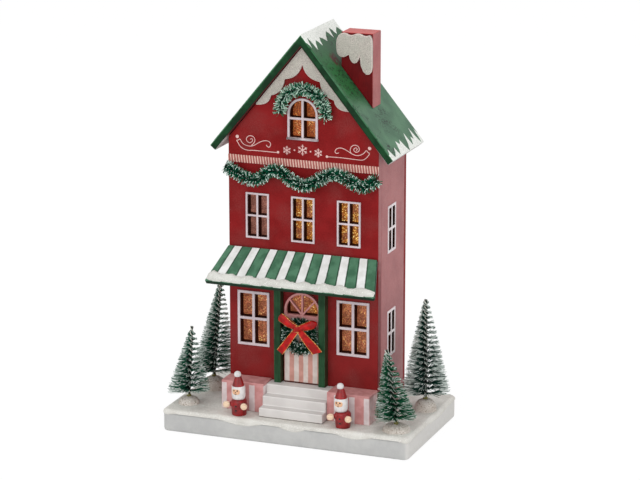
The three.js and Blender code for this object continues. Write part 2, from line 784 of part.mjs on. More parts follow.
// A bottle brush: a wire core with strands wound up it in a helix, shorter towards the tip
function brush({ radius, height, lean }) {
  const core = new THREE.CylinderGeometry(0.6 * brushCore, brushCore, height, 6).rotateX(Math.PI / 2);
  core.translate(0, 0, height / 2);
  let whole = solid(core);
  const count = Math.round(height / brushPitch) * strandsPerTurn;
  for (let i = 0; i < count; i += 1) {
    const share = i / (count - 1);
    const length = strandShortest + (radius - strandShortest) * (1 - share) ** strandTaper;
    const strand = new THREE.CylinderGeometry(strandTip, strandRoot, length, 3).translate(0, length / 2, 0);
    strand.rotateZ(-Math.PI / 2).rotateY(-lowestRise - (highestRise - lowestRise) * share);
    strand.rotateZ(2 * Math.PI * (i + strandStray * Math.sin(i)) / strandsPerTurn);
    strand.translate(0, 0, brushFoot + share * (height - brushFoot - brushTip));
    whole = whole.add(solid(strand));
  }
  const shear = new THREE.Matrix4().set(1, 0, lean / height, 0, 0, 1, 0, 0, 0, 0, 1, 0, 0, 0, 0, 1);
  return geometryOf(whole).applyMatrix4(shear);
}

function buildTrees() {
  for (const { name, side, tree, mound } of trees) {
    const x = side * (baseWidth / 2 - tree.fromSide);
    const y = tree.fromFront - baseDepth / 2;
    const { radius, height } = mound;
    const dome = turned([[0, 0], [radius, 0], [0.86 * radius, 0.35 * height], [0.55 * radius, 0.8 * height],
      [moundTop, height], [0, height]], 14);
    add(`mound_${name}`, dome.translate(x, y, ground), finish.snow());
    add(`tree_${name}`, brush(tree).translate(x, y, ground + height), finish.brush());
  }
}

// Peg figures: body with two short arms, head, hat with its bobble, ball hands
function buildFigure(side, x, y, lean) {
  const place = (geometry, z, shift = 0) => geometry.translate(x + shift, y, ground + z);
  const peg = turned([[0, 0], [bodyFoot - pegRound, 0], [bodyFoot, pegRound],
    [bodyShoulder, bodyHeight - shoulderSlope - pegRound], [bodyShoulder - pegRound, bodyHeight - pegRound],
    [headFlat, bodyHeight], [0, bodyHeight]]);
  const arms = [];
  for (const sign of [-1, 1]) {
    const heading = -Math.PI / 2 + sign * armSpread + figureTurn;
    const arm = new THREE.CylinderGeometry(armRadius, armRadius, armReach, 10).translate(0, armReach / 2, 0);
    arms.push(arm.rotateZ(-Math.PI / 2).rotateZ(heading).translate(0, 0, armHeight));
    const hand = new THREE.SphereGeometry(handRadius, 10, 7);
    const away = armReach + fit + handRadius;
    hand.translate(away * Math.cos(heading), away * Math.sin(heading), armHeight);
    add(`figure_${side}_hand_${sign < 0 ? 'left' : 'right'}`, place(hand, 0), finish.bareWood());
  }
  add(`figure_${side}_body`, place(join([peg, ...arms]), 0), finish.suit());

  const head = turned([[0, 0], [headFlat, 0], [headRadius - pegRound, 3 * pegRound],
    [headRadius, headHeight / 2], [headRadius - pegRound / 2, headHeight - 2 * pegRound],
    [headFlat + pegRound, headHeight], [0, headHeight]]);
  add(`figure_${side}_head`, place(head, bodyHeight, lean.head), finish.face());

  const hat = turned([[0, 0], [headFlat, 0], [hatTip, hatHeight], [0, hatHeight]]);
  const bobble = new THREE.SphereGeometry(bobbleRadius, 12, 8).rotateX(Math.PI / 2);
  bobble.translate(lean.bobble - lean.hat, 0, hatHeight + bobbleRadius - bobbleSink);
  const capped = join([hat, bobble]);
  add(`figure_${side}_hat`, place(capped, bodyHeight + headHeight, lean.hat), finish.suit());
}

function buildFigures() {
  const y = frontY - porchBoxDepth - figureFromBoxes;
  buildFigure('left', houseCentre - stepWidth / 2 - leftFigureFromSteps, y, leftFigureLean);
  buildFigure('right', houseCentre + stepWidth / 2 + rightFigureFromSteps, y, rightFigureLean);
}

// Sizes that the holder, its cells, cover, switch and the back wall's opening share
function holderSizes() {
  const bayLength = contactPad + nubLength + cellBody + contactSpring + 2 * fit;
  const bayHeight = 4 * cellRadius + 3 * fit;
  const bayDepth = 2 * cellRadius + 4 * fit;
  const outerLength = bayLength + switchBay + 3 * holderWall;
  const xLow = houseCentre - outerLength / 2;
  const zLow = ground + holderAboveGround - bayHeight / 2 - holderWall;
  const face = backY + flangeThickness;
  return {
    bayLength,
    bayHeight,
    bayDepth,
    face,
    xLow,
    xHigh: xLow + outerLength,
    zLow,
    zHigh: zLow + bayHeight + 2 * holderWall,
    zMid: ground + holderAboveGround,
    bayLow: xLow + holderWall,
    bayHigh: xLow + holderWall + bayLength,
    yLow: face - bayDepth - holderWall,
    coverLow: xLow + holderWall - coverLap,
    coverHigh: xLow + holderWall + bayLength + coverLap,
    coverHalf: bayHeight / 2 + coverLap,
    knobX: xLow + holderWall + bayLength + holderWall + switchBay / 2 - switchTravel / 2,
  };
}

// A lathe shape about X, with its flat end at x
function alongX(points, x, y, z, sign, sides) {
  const piece = turned(points, sides).rotateY(sign * Math.PI / 2);
  return piece.translate(x, y, z);
}

function buildHolder() {
  const h = holder;
  const bayMid = h.zMid;
  const railTop = h.face + fit + coverThickness + fit;
  const stopX = h.coverHigh + fit;
  const stopEnd = stopX + stopWidth;
  const flange = block(h.xLow - flangeLap, h.xHigh + flangeLap, backY, h.face,
    bayMid - h.coverHalf - fit - railWidth, bayMid + h.coverHalf + fit + railWidth);
  const rails = [-1, 1].flatMap((sign) => {
    const edge = bayMid + sign * (h.coverHalf + fit);
    const outer = edge + sign * railWidth;
    const lip = edge - sign * (fit + railLip);
    const low = Math.min(edge, outer);
    const high = Math.max(edge, outer);
    return [
      block(h.coverLow, stopEnd, backY, railTop + railLip, low, high),
      block(h.coverLow, stopEnd, railTop, railTop + railLip, Math.min(lip, outer), Math.max(lip, outer)),
    ];
  });
  const stop = block(stopX, stopEnd, backY, railTop,
    bayMid - h.coverHalf - fit - railWidth, bayMid + h.coverHalf + fit + railWidth);
  const body = join([block(h.xLow, h.xHigh, h.yLow, h.face, h.zLow, h.zHigh), flange, ...rails, stop]);

  const knobReach = knobLength / 2 + fit;
  const footReach = knobLength / 2 + knobFootLap + fit;
  const knobHalf = knobWidth / 2 + fit;
  const footHalf = knobWidth / 2 + knobFootLap + fit;
  const footTop = backY;
  const cutters = [
    block(h.bayLow, h.bayHigh, h.face - h.bayDepth, h.face + 1,
      bayMid - h.bayHeight / 2, bayMid + h.bayHeight / 2),
    block(h.knobX - knobReach, h.knobX + switchTravel + knobReach, footTop - 1, h.face + 1,
      bayMid - knobHalf, bayMid + knobHalf),
    block(h.knobX - footReach, h.knobX + switchTravel + footReach, footTop - knobFoot - 2 * fit, footTop,
      bayMid - footHalf, bayMid + footHalf),
  ];
  const terminals = [-1, 1].flatMap((sign) => {
    const z = bayMid + sign * (cellRadius + fit / 2);
    const y = cellY();
    const springX = sign > 0 ? h.bayLow : h.bayHigh;
    const padX = sign > 0 ? h.bayHigh : h.bayLow;
    const cone = [[0, -holderWall / 2], [springRadius, -holderWall / 2], [0.7 * springRadius, contactSpring],
      [0, contactSpring]];
    const padLow = Math.min(padX - sign * contactPad, padX + sign * 1);
    return [
      alongX(cone, springX, y, z, sign, 12),
      block(padLow, padLow + contactPad + 1, y - springRadius, y + springRadius,
        z - springRadius, z + springRadius),
    ];
  });
  add('battery_box', join([cut(body, cutters), ...terminals]), finish.darkPlastic());

  for (const [name, sign] of [['upper', 1], ['lower', -1]]) {
    const cell = [[0, 0], [cellRadius, 0], [cellRadius, cellBody], [nubRadius, cellBody],
      [nubRadius, cellBody + nubLength], [0, cellBody + nubLength]];
    const x = sign > 0 ? h.bayLow + contactSpring + fit : h.bayHigh - contactSpring - fit;
    const z = bayMid + sign * (cellRadius + fit / 2);
    add(`battery_cell_${name}`, alongX(cell, x, cellY(), z, sign, 16), finish.cell());
  }

  const plate = block(h.coverLow, h.coverHigh, h.face + fit, h.face + fit + coverThickness,
    bayMid - h.coverHalf, bayMid + h.coverHalf);
  const ribs = [];
  for (let i = 0; i < gripRibs; i += 1) {
    const x = h.coverLow + gripRibInset + gripRibPitch * i;
    const top = h.face + fit + coverThickness;
    ribs.push(block(x, x + gripRibWidth, top - gripRibHeight / 2, top + gripRibHeight,
      bayMid - h.bayHeight / 4, bayMid + h.bayHeight / 4));
  }
  add('battery_lid', join([plate, ...ribs]), finish.darkPlastic());

  const footAlong = knobLength / 2 + knobFootLap;
  const footAcross = knobWidth / 2 + knobFootLap;
  const knobLow = footTop - fit;
  const foot = block(h.knobX - footAlong, h.knobX + footAlong, knobLow - knobFoot, knobLow,
    bayMid - footAcross, bayMid + footAcross);
  const knob = block(h.knobX - knobLength / 2, h.knobX + knobLength / 2, knobLow - knobFoot / 2,
    h.face + knobProud, bayMid - knobWidth / 2, bayMid + knobWidth / 2);
  add('switch_slider', join([foot, knob]), finish.plastic());
}

function cellY() {
  return holder.face - holder.bayDepth + fit + cellRadius;
}

// Lamp board up the inside of the back wall, with the lead that feeds it
function buildLamps() {
  const wallY = backY - wallThickness;
  const low = holder.zHigh + lampBoardAboveHolder;
  const high = low + lampCount * lampSpacing;
  const half = lampBoardWidth / 2;
  const board = block(houseCentre - half, houseCentre + half, wallY - lampBoardThickness, wallY, low, high);
  const lamps = [];
  for (let i = 0; i < lampCount; i += 1) {
    const lamp = new THREE.SphereGeometry(lampRadius, 8, 6);
    lamps.push(lamp.translate(houseCentre, wallY - lampRadius - fit, low + (i + 0.5) * lampSpacing));
  }
  add('led_strip', join([board, ...lamps]), finish.lampBoard());

  const y = wallY - lampBoardThickness / 2 - fit;
  const lead = [
    new THREE.Vector3(houseCentre + leadShift, y - leadSlack, holder.zHigh + fit),
    new THREE.Vector3(houseCentre + leadShift, y - leadSlack, holder.zHigh + leadStraight),
    new THREE.Vector3(houseCentre + leadShift / 2, y - leadSlack / 2, (holder.zHigh + low) / 2),
    new THREE.Vector3(houseCentre, y, low - leadStraight),
    new THREE.Vector3(houseCentre, y, low - fit),
  ];
  add('lamp_lead', tube(lead, leadRadius, 14), finish.darkPlastic());
}

buildBase();
buildWalls();
buildWindows();
buildRoof();
buildChimney();
buildGable();
buildPorch();
buildAwning();
buildGarlands();
buildBow();
buildTrees();
buildFigures();
buildHolder();
buildLamps();

export default house;
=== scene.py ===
"""A lighted wooden Christmas house on a snowy base, dressed over its frame of solid parts.

Shapes are made in millimetres and scaled to metres when each piece is finished. Colours are in 0 to 255.
"""

import math
import random

import bmesh
import bpy
from mathutils import Matrix, Vector, noise


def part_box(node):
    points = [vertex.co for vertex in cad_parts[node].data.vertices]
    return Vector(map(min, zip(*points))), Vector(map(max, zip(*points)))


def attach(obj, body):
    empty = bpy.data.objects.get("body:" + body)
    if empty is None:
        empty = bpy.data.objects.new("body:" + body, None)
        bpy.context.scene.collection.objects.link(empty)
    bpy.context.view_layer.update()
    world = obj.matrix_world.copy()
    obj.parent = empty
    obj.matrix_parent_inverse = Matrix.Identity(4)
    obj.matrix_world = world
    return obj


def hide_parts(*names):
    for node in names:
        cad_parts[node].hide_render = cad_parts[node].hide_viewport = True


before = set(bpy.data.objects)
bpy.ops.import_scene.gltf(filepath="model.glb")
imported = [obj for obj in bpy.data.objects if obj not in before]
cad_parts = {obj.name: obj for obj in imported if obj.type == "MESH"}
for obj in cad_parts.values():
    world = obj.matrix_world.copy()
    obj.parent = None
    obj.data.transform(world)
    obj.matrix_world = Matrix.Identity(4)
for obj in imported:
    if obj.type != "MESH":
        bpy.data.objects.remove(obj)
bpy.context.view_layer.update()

MM = 0.001
scene = bpy.context.scene

# Camera and floor
CAMERA_PLACE = (901.57, -2322.28, 839.84)
CAMERA_PITCH = 14.92
CAMERA_TURN = 21.01
CAMERA_LENS = 158.78
FLOOR_SIZE = 8.0
WHITE_GLOW = 1.05


def place_camera():
    camera = bpy.data.objects.new("camera", bpy.data.cameras.new("camera"))
    camera.data.lens = CAMERA_LENS
    camera.data.sensor_width = 36
    camera.data.clip_end = 50
    camera.location = Vector(CAMERA_PLACE) * MM
    camera.rotation_euler = (math.radians(90 - CAMERA_PITCH), 0, math.radians(CAMERA_TURN))
    scene.collection.objects.link(camera)
    scene.camera = camera


def soft_light(name, place, target, size, power):
    lamp = bpy.data.lights.new(name, "AREA")
    lamp.shape = "SQUARE"
    lamp.size = size
    lamp.energy = power
    holder = bpy.data.objects.new(name, lamp)
    holder.location = place
    holder.rotation_euler = (Vector(target) - Vector(place)).to_track_quat("-Z", "Y").to_euler()
    scene.collection.objects.link(holder)


# Finishes
def srgb(red, green, blue):
    """A colour as a paint chart gives it, for a shader."""
    def linear(channel):
        share = channel / 255
        return share / 12.92 if share <= 0.04045 else ((share + 0.055) / 1.055) ** 2.4
    return (linear(red), linear(green), linear(blue), 1.0)


class Wire:
    """A number or colour on its way through a finish's nodes, so that sums are written as sums."""

    def __init__(self, finish, socket):
        self.finish = finish
        self.socket = socket

    def __add__(self, other):
        return self.finish.maths("ADD", self, other)

    def __radd__(self, other):
        return self.finish.maths("ADD", other, self)

    def __sub__(self, other):
        return self.finish.maths("SUBTRACT", self, other)

    def __rsub__(self, other):
        return self.finish.maths("SUBTRACT", other, self)

    def __mul__(self, other):
        return self.finish.maths("MULTIPLY", self, other)

    def __rmul__(self, other):
        return self.finish.maths("MULTIPLY", other, self)

    def __truediv__(self, other):
        return self.finish.maths("DIVIDE", self, other)

    def __or__(self, other):
        """The larger of two masks."""
        return self.finish.maths("MAXIMUM", self, other)

    def __abs__(self):
        return self.finish.maths("ABSOLUTE", self)

    def step(self, low, high):
        """0 below low, 1 above high, and a soft rise between them."""
        inputs = {0: self, 1: low, 2: high}
        return self.finish.node("MapRange", {"interpolation_type": "SMOOTHSTEP"}, inputs)

    def below(self, low, high):
        return 1 - self.step(low, high)

    def near(self, middle, reach):
        """1 at the middle value, fading to 0 at that reach from it."""
        return abs(self - middle).below(reach * 0.35, reach)

    def channel(self, which):
        return self.finish.node("SeparateColor", None, {0: self}, which)

    def mix(self, first, second):
        """The first colour where this mask is 0, and the second where it is 1."""
        first, second = (tone if isinstance(tone, Wire) else srgb(*tone) for tone in (first, second))
        return self.finish.node("Mix", {"data_type": "RGBA"}, {0: self, 6: first, 7: second}, 2)

    def line(self, points):
        """The height of a line through the points, at this value."""
        low, high = points[0][0], points[-1][0]
        top = max(height for place, height in points)
        made = self.finish.tree.nodes.new("ShaderNodeFloatCurve")
        curve = made.mapping.curves[0]
        curve.points[0].location = (0, points[0][1] / top)
        curve.points[1].location = (1, points[-1][1] / top)
        for place, height in points[1:-1]:
            curve.points.new((place - low) / (high - low), height / top)
        for point in curve.points:
            point.handle_type = "VECTOR"
        made.mapping.update()
        self.finish.feed(made.inputs["Value"], (self - low) * (1 / (high - low)))
        return Wire(self.finish, made.outputs[0]) * top


class Finish:
    """A surface's paint, cloth, plastic or snow: its shader and the nodes that vary it."""

    def __init__(self, name, **constants):
        self.material = bpy.data.materials.new(name)
        self.material.use_nodes = True
        self.tree = self.material.node_tree
        self.shader = self.tree.nodes["Principled BSDF"]
        for socket, value in constants.items():
            self.shader.inputs[socket.replace("_", " ")].default_value = value
        self.point = self.node("TexCoord", output=3)

    def feed(self, socket, value):
        if isinstance(value, Wire):
            self.tree.links.new(value.socket, socket)
        else:
            socket.default_value = value

    def node(self, kind, settings=None, inputs=None, output=0):
        made = self.tree.nodes.new("ShaderNode" + kind)
        for setting, value in (settings or {}).items():
            setattr(made, setting, value)
        for socket, value in (inputs or {}).items():
            self.feed(made.inputs[socket], value)
        return Wire(self, made.outputs[output])

    def maths(self, operation, first, second=0.0):
        return self.node("Math", {"operation": operation}, {0: first, 1: second})

    def spot(self, size, stretch=(1, 1, 1)):
        """The point on the object, with one unit to each size in millimetres."""
        scale = [1 / (MM * size * part) for part in stretch]
        return self.node("Mapping", None, {"Vector": self.point, "Scale": scale})

    def noise(self, size, detail=2, stretch=(1, 1, 1)):
        return self.node("TexNoise", None, {"Vector": self.spot(size, stretch), "Scale": 1.0, "Detail": detail})

    def grains(self, size, output=1):
        """Cells of that size: their colour is output 1, the distance to their middle output 0."""
        return self.node("TexVoronoi", None, {"Vector": self.spot(size), "Scale": 1.0}, output)

    def cracks(self, size, width):
        """1 on fine lines between cells of that size."""
        gap = self.node("TexVoronoi", {"feature": "DISTANCE_TO_EDGE"}, {"Vector": self.spot(size), "Scale": 1.0})
        return gap.below(width * 0.5, width)

    def axis(self, which):
        """X, Y or Z of the point, in millimetres."""
        return self.node("SeparateXYZ", None, {0: self.spot(1)}, "XYZ".index(which))

    def attribute(self, name):
        return self.node("Attribute", {"attribute_name": name}, None, 2)

    def rubbed(self):
        """1 in patches along a board's rounded edges."""
        return self.attribute("worn") * self.noise(3.5, 3).step(0.38, 0.6)

    def set(self, socket, value):
        self.feed(self.shader.inputs[socket], value)

    def coat(self, colour, roughness, height=None, depth=0.0, strength=1.0):
        """Sets the colour, the roughness and any bumps of that depth, and hands the finish on."""
        self.colour = colour
        self.set("Base Color", colour)
        self.set("Roughness", roughness)
        if height:
            inputs = {"Height": height, "Distance": depth * MM, "Strength": strength}
            self.set("Normal", self.node("Bump", None, inputs))
        return self


def paint(name, colour, shade, roughness=0.5, grain=(1, 1, 6), sheen=0.3, worn=None):
    """Brushed paint on wood: clouds of tone, streaks along the grain, rubbed edges and fine bumps."""
    finish = Finish(name, Specular_IOR_Level=sheen)
    streak = finish.noise(1.3, 2, grain)
    tinted = (finish.noise(22, 3) * 0.65 + streak * 0.35).step(0.36, 0.62).mix(shade, colour)
    if worn:
        tinted = finish.rubbed().mix(tinted, worn)
    return finish.coat(tinted, roughness - 0.1 + 0.2 * finish.noise(6), streak + 0.5 * finish.noise(0.6), 0.12, 0.5)


def wall_finish():
    """Deep red paint, paler low down and in patches, partly dust and partly painted sheen, and rubbed dark at its
    edges.
    """
    finish = Finish("wall_red", Specular_IOR_Level=0.12)
    fleck = finish.noise(1.1, 3)
    tinted = (finish.noise(22, 3) * 0.6 + fleck * 0.4).step(0.36, 0.62).mix((120, 14, 16), (139, 24, 26))
    # Pale patches, and more paleness low down: partly dust, partly painted sheen.
    dust_and_sheen = finish.noise(30, 4).step(0.44, 0.66) * (0.4 + 0.6 * fleck.step(0.4, 0.6))
    low = finish.axis("Z").below(130, 200)
    tinted = finish.rubbed().mix((dust_and_sheen * 0.5 + low * 0.18).mix(tinted, (128, 58, 56)), (78, 12, 14))
    return finish.coat(tinted, 0.5 + 0.2 * finish.noise(6), fleck + 0.5 * finish.noise(0.6), 0.12, 0.5)


def sheened_red_finish(name="side_wall_red", dark=(150, 84, 86), pale=(170, 104, 104), front=None):
    """Red boards whose pink tone is painted sheen; front is the red that shows on a board's lower end, below the
    painted sheen.
    """
    finish = Finish(name, Specular_IOR_Level=0.3)
    fleck = finish.noise(0.9, 3)
    # The pink of dark and pale is painted sheen over the red paint.
    tinted = (finish.noise(26, 3) * 0.5 + fleck * 0.5).step(0.36, 0.62).mix(dark, pale)
    if front:
        # Low down the front red shows, with the pink painted sheen above it.
        height = finish.axis("Z") + (finish.noise(5, 4) - 0.5) * 60
        tinted = height.step(140, 195).mix(front, tinted)
    return finish.coat(tinted, 0.36 + 0.2 * finish.noise(4), fleck, 0.12, 0.5)


# Icicles painted on the roof: each tip's or gap's place from front to back, and how far the white reaches there
RIDGE_ICICLES = [(-31.2, 9), (-27.9, 15.6), (-23.2, 5), (-19.6, 19.5), (-11, 10.5), (-5.1, 18), (-0.7, 9.6),
                 (9.4, 16), (19.9, 7.3), (26.2, 16.1), (30.1, 5.5), (36.5, 14.1), (45.8, 7.8), (51.1, 14), (52.3, 12)]
EAVE_ICICLES = [(-31.2, 12), (-26.4, 17.7), (-22.1, 7.6), (-12.5, 16.1), (-9.4, 7.1), (-1.6, 20.3), (2.8, 15.5),
                (7.6, 19.4), (12.9, 5.8), (24.6, 22.8), (26.6, 8.8), (32.5, 16.7), (35.7, 13), (40.3, 24.2),
                (45.8, 6.1), (49.3, 21.4), (52.3, 14)]


def roof_finish():
    """Green boards with crackle, and white icicles painted down from the ridge and up from the eave."""
    finish = Finish("roof_green", Specular_IOR_Level=0.3)
    down = (ridge - finish.axis("Z")) / math.sin(ROOF_PITCH)
    length = (ridge - span("roof_panel_right")[0].z) / math.sin(ROOF_PITCH)
    along = finish.axis("Y")
    bright = along.near(-14, 22) * down.near(52, 34)
    crackled = finish.noise(26, 3).step(0.5, 0.6) | bright
    right_half = finish.axis("X").step(HOUSE_X, HOUSE_X + 5)
    blotch = along.near(-1.5, 8) * down.near(34, 9) * right_half
    green = finish.noise(20, 3).step(0.36, 0.66).mix((60, 100, 74), (80, 122, 92))
    for mask, tone in ((down.below(22, 48), (40, 90, 54)),
                       (bright * 0.75, (22, 104, 46)),
                       (finish.cracks(2.6, 0.14) * crackled * finish.noise(4, 3).step(0.4, 0.6), (10, 26, 18)),
                       (finish.noise(1.6, 4).step(0.6, 0.7) * 0.4, (34, 70, 48)),
                       (blotch * finish.noise(3, 4).step(0.4, 0.5), (78, 26, 26))):
        green = mask.mix(green, tone)

    def icicles(distance, points):
        """1 where the paint reaches past a distance, along the measured tips and gaps with hollow sides."""
        line = []
        for (start, low), (end, high) in zip(points, points[1:]):
            line += [(start, low), ((start + end) / 2, min(low, high) + 0.38 * abs(high - low))]
        reach = (along + (finish.noise(3, 2) - 0.5) * 0.8).line([*line, points[-1]])
        edge = distance - reach + (finish.noise(1.1, 3) - 0.5) * 1.6
        return edge.below(-0.25, 0.25)

    white = icicles(down, RIDGE_ICICLES) | icicles(length - down, EAVE_ICICLES)
    snow = finish.noise(1.4, 3).step(0.35, 0.65).mix((220, 224, 217), (246, 247, 243))
    return finish.coat(white.mix(green, snow), 0.48 + 0.25 * white, finish.noise(0.7, 3) * 0.5 + white * 0.9, 0.25, 0.6)


def snow_finish(name, pale, warm, grain, sparkle, specks=None):
    """Rough snow paste: uneven crumbs, a warm tint in the hollows, fine glitter and a few coloured specks."""
    finish = Finish(name, Specular_IOR_Level=0.35)
    lumps = finish.noise(grain, 5)
    tinted = (finish.noise(14, 3) * 0.6 + lumps * 0.4).step(0.36, 0.64).mix(warm, pale)
    if specks:
        few = (finish.grains(0.9).channel(2) + 0.3 * finish.noise(7)).step(0.98, 1.06)
        tinted = (few * 0.7).mix(tinted, specks)
    glint = finish.grains(0.45).channel(0).step(sparkle, sparkle + 0.05)
    return finish.coat(glint.mix(tinted, (255, 253, 248)), 0.85 - 0.5 * glint, lumps + 0.3 * glint, 0.5, 0.7)


def glitter_board_finish():
    """Fine off-white glitter glued to a board."""
    finish = Finish("glitter_board", Specular_IOR_Level=0.5)
    cells = finish.grains(0.42)
    chip = cells.channel(0)
    tinted = chip.mix((158, 150, 142), (214, 208, 198))
    tinted = (finish.noise(6, 3).step(0.4, 0.6) * 0.35).mix(tinted, (188, 188, 176))
    finish.set("Metallic", 0.35 * cells.channel(2).step(0.75, 0.9))
    return finish.coat(finish.attribute("worn").mix(tinted, (232, 214, 208)),
                       0.7 - 0.4 * cells.channel(1).step(0.8, 0.95), chip, 0.22, 0.8)


def fascia_finish():
    """Deep green ends of the roof boards, darkened along their lower edges as painted shade, with a paler line under
    the top as a painted highlight.
    """
    finish = Finish("fascia_green", Specular_IOR_Level=0.15)
    across = abs(finish.axis("X") - HOUSE_X)
    depth = (ridge - finish.axis("Z")) * math.cos(ROOF_PITCH) - across * math.sin(ROOF_PITCH)
    green = finish.noise(9, 3).step(0.36, 0.64).mix((9, 43, 21), (17, 64, 33))
    # Painted highlight: a paler line just under the top edge.
    green = (depth.below(0.7, 1.5) * finish.noise(5, 2).step(0.3, 0.5)).mix(green, (64, 116, 80))
    # Painted shade: darker along the lower edge.
    green = (depth.step(5.2, 6.4) * 0.7).mix(green, (8, 30, 18))
    return finish.coat(green, 0.5 + 0.2 * finish.noise(4), finish.noise(0.9, 3), 0.12, 0.5)


def eave_finish():
    """The roof's underside: whitish where it passes the walls, and a dark red-brown painted shade up inside."""
    finish = Finish("eave_paint", Specular_IOR_Level=0.2)
    tone = finish.noise(1.2, 4).step(0.36, 0.64)
    # Above the eaves the dark red-brown is painted shade.
    tinted = finish.axis("Z").step(EAVES_Z - 3, EAVES_Z + 3).mix(
        tone.mix((178, 172, 170), (204, 200, 198)), tone.mix((74, 22, 22), (98, 34, 34)))
    return finish.coat(tinted, 0.6 + 0.2 * finish.noise(3), finish.noise(0.8, 3), 0.15, 0.5)


def film_finish():
    """Amber glitter sheet with the lamps' warm light coming through it.

    It is golden behind two upper windows and the arch's right half, rosy behind the left upper window and
    orange behind the gable's.
    """
    finish = Finish("amber_glitter", Specular_IOR_Level=0.4, Emission_Strength=0.8)
    across, height = finish.axis("X"), finish.axis("Z")
    small = (finish.grains(0.7).channel(0) + finish.grains(0.45).channel(1)).step(0.4, 1.6)
    upper = height.step(160, 170) * height.below(240, 250)
    arch = height.below(150, 158) * across.step(2, 14) * across.below(18, 22)
    gold = upper * across.step(-20, -10) * (0.3 + 0.7 * finish.noise(9, 3).step(0.42, 0.56)) + 0.85 * arch
    rose = upper * across.below(-30, -18)
    attic = height.step(255, 270)
    base = small.mix((96, 43, 27), (171, 102, 70))
    for mask, dark, pale in ((gold, (100, 46, 12), (170, 102, 34)), (rose * 0.75, (96, 58, 52), (146, 102, 92)),
                             (0.6 * attic, (96, 34, 8), (190, 92, 22))):
        base = mask.mix(base, small.mix(dark, pale))
    cells = finish.grains(1.1)
    clump = finish.noise(8, 2).step(0.42, 0.62)
    chance = cells.channel(1) + 0.06 + 0.2 * clump + 0.28 * gold - 0.4 * rose
    # The bright specks are painted glints on the glitter, in its colour and its glow.
    painted_glints = chance.step(0.86, 0.94) * finish.grains(1.1, 0).below(0.35, 0.6)
    bright = painted_glints.mix(base, cells.channel(2).mix((244, 176, 66), (255, 234, 158)))
    finish.set("Emission Color", (0.5 + 0.5 * (clump | gold)).mix((40, 16, 6), bright))
    finish.set("Metallic", 0.3 * small)
    return finish.coat(bright, 0.5 - 0.2 * small, small, 0.3, 0.9)


def awning_finish():
    """Green and white stripes that fan out down the slope, each edged with a darker line."""
    finish = Finish("awning_stripes", Specular_IOR_Level=0.25)
    down = (AWNING_TOP_Z - finish.axis("Z")) / AWNING_DROP
    half = AWNING_HALF_TOP + (AWNING_HALF_LOW - AWNING_HALF_TOP) * down
    across = (finish.axis("X") - (HOUSE_X + AWNING_SHIFT)) / half
    waver = (finish.noise(4, 2) - 0.5) * 0.008
    away = finish.maths("PINGPONG", across + waver + AWNING_PITCH * 20, AWNING_PITCH / 2)
    from_white = AWNING_PITCH / 2 - away
    white = from_white.below(AWNING_WHITE - 0.004, AWNING_WHITE + 0.004)
    line = (1 - white) * from_white.below(AWNING_WHITE + 0.012, AWNING_WHITE + 0.02)
    inside = abs(across).below(0.93, 0.95) * down.below(0.975, 0.985)
    cloud = finish.noise(9, 3, (1, 1, 2)).step(0.36, 0.64)
    green = line.mix(cloud.mix((58, 102, 76), (80, 126, 98)), (34, 68, 48))
    cream = cloud.mix((222, 223, 220), (238, 239, 238))
    return finish.coat((white * inside).mix(green, cream), 0.5 + 0.15 * finish.noise(3),
                       finish.noise(1.0, 3) + 0.5 * white, 0.12, 0.5)


def striped_finish(name, pitch, start, width, pink, white, top, foot=None, bright=None):
    """Pink boards with white stripes brushed up to a height, their middles a pitch apart from start.

    foot is the height of a dark lowest line, which is a painted shadow, and bright is a lighter pink above the stripes,
    which is painted light.
    """
    finish = Finish(name, Specular_IOR_Level=0.25)
    height = finish.axis("Z")
    waver = (finish.noise(5, 2) - 0.5) * 0.5
    away = finish.maths("PINGPONG", finish.axis("X") + waver - start, pitch / 2)
    band = away.below(width / 2 - 0.35, width / 2 + 0.35)
    band = band * (height + (finish.noise(2, 2) - 0.5) * 0.8).below(top - 0.3, top + 0.3)
    cloud = finish.noise(7, 3).step(0.36, 0.64)
    rose = cloud.mix(*pink)
    if bright:
        # Painted light: a lighter pink above the stripes.
        rose = height.step(top, top + 10).mix(rose, bright)
    tinted = band.mix(rose, cloud.mix(*white))
    if foot is not None:
        # Painted shadow: a dark line along the foot.
        tinted = height.step(foot, foot + 0.5).mix((70, 30, 25), tinted)
    return finish.coat((finish.attribute("worn") * 0.5).mix(tinted, pink[1]), 0.55 + 0.15 * finish.noise(3),
                       finish.noise(0.9, 3, (1, 1, 5)) + 0.4 * band, 0.12, 0.5)


def step_finish():
    """Smooth white paint, with a painted shadow as a dark line where the lowest step meets the snow."""
    finish = Finish("step_white", Specular_IOR_Level=0.25)
    tinted = finish.noise(24, 2).step(0.36, 0.64).mix((210, 206, 203), (220, 216, 213))
    tinted = (finish.attribute("worn") * 0.6).mix(tinted, (232, 229, 226))
    # Painted shadow: a dark line at the foot of the lowest step.
    foot = (finish.axis("Z") + finish.noise(3, 2)).step(GROUND + 1.1, GROUND + 1.6)
    return finish.coat(foot.mix((120, 110, 104), tinted), 0.55 + 0.15 * finish.noise(5),
                       finish.noise(1.2, 2), 0.06, 0.4)


def bristle_finish(name, dark, green, frost, frost_start, spread=0.05):
    """Strands, darker at the wire, partly a dark root and partly painted shade, green along them and frosted white at
    the tips.
    """
    finish = Finish(name, Specular_IOR_Level=0.12)
    along = finish.attribute("along")
    start = frost_start + (finish.noise(0.8) - 0.5) * 0.3
    flock = (along - start).step(-spread, spread) * finish.attribute("frost")
    # Darker towards the wire: partly dark roots, partly painted shade.
    return finish.coat(flock.mix(along.step(0.15, 0.6).mix(dark, green), frost), 0.6 + 0.3 * flock)


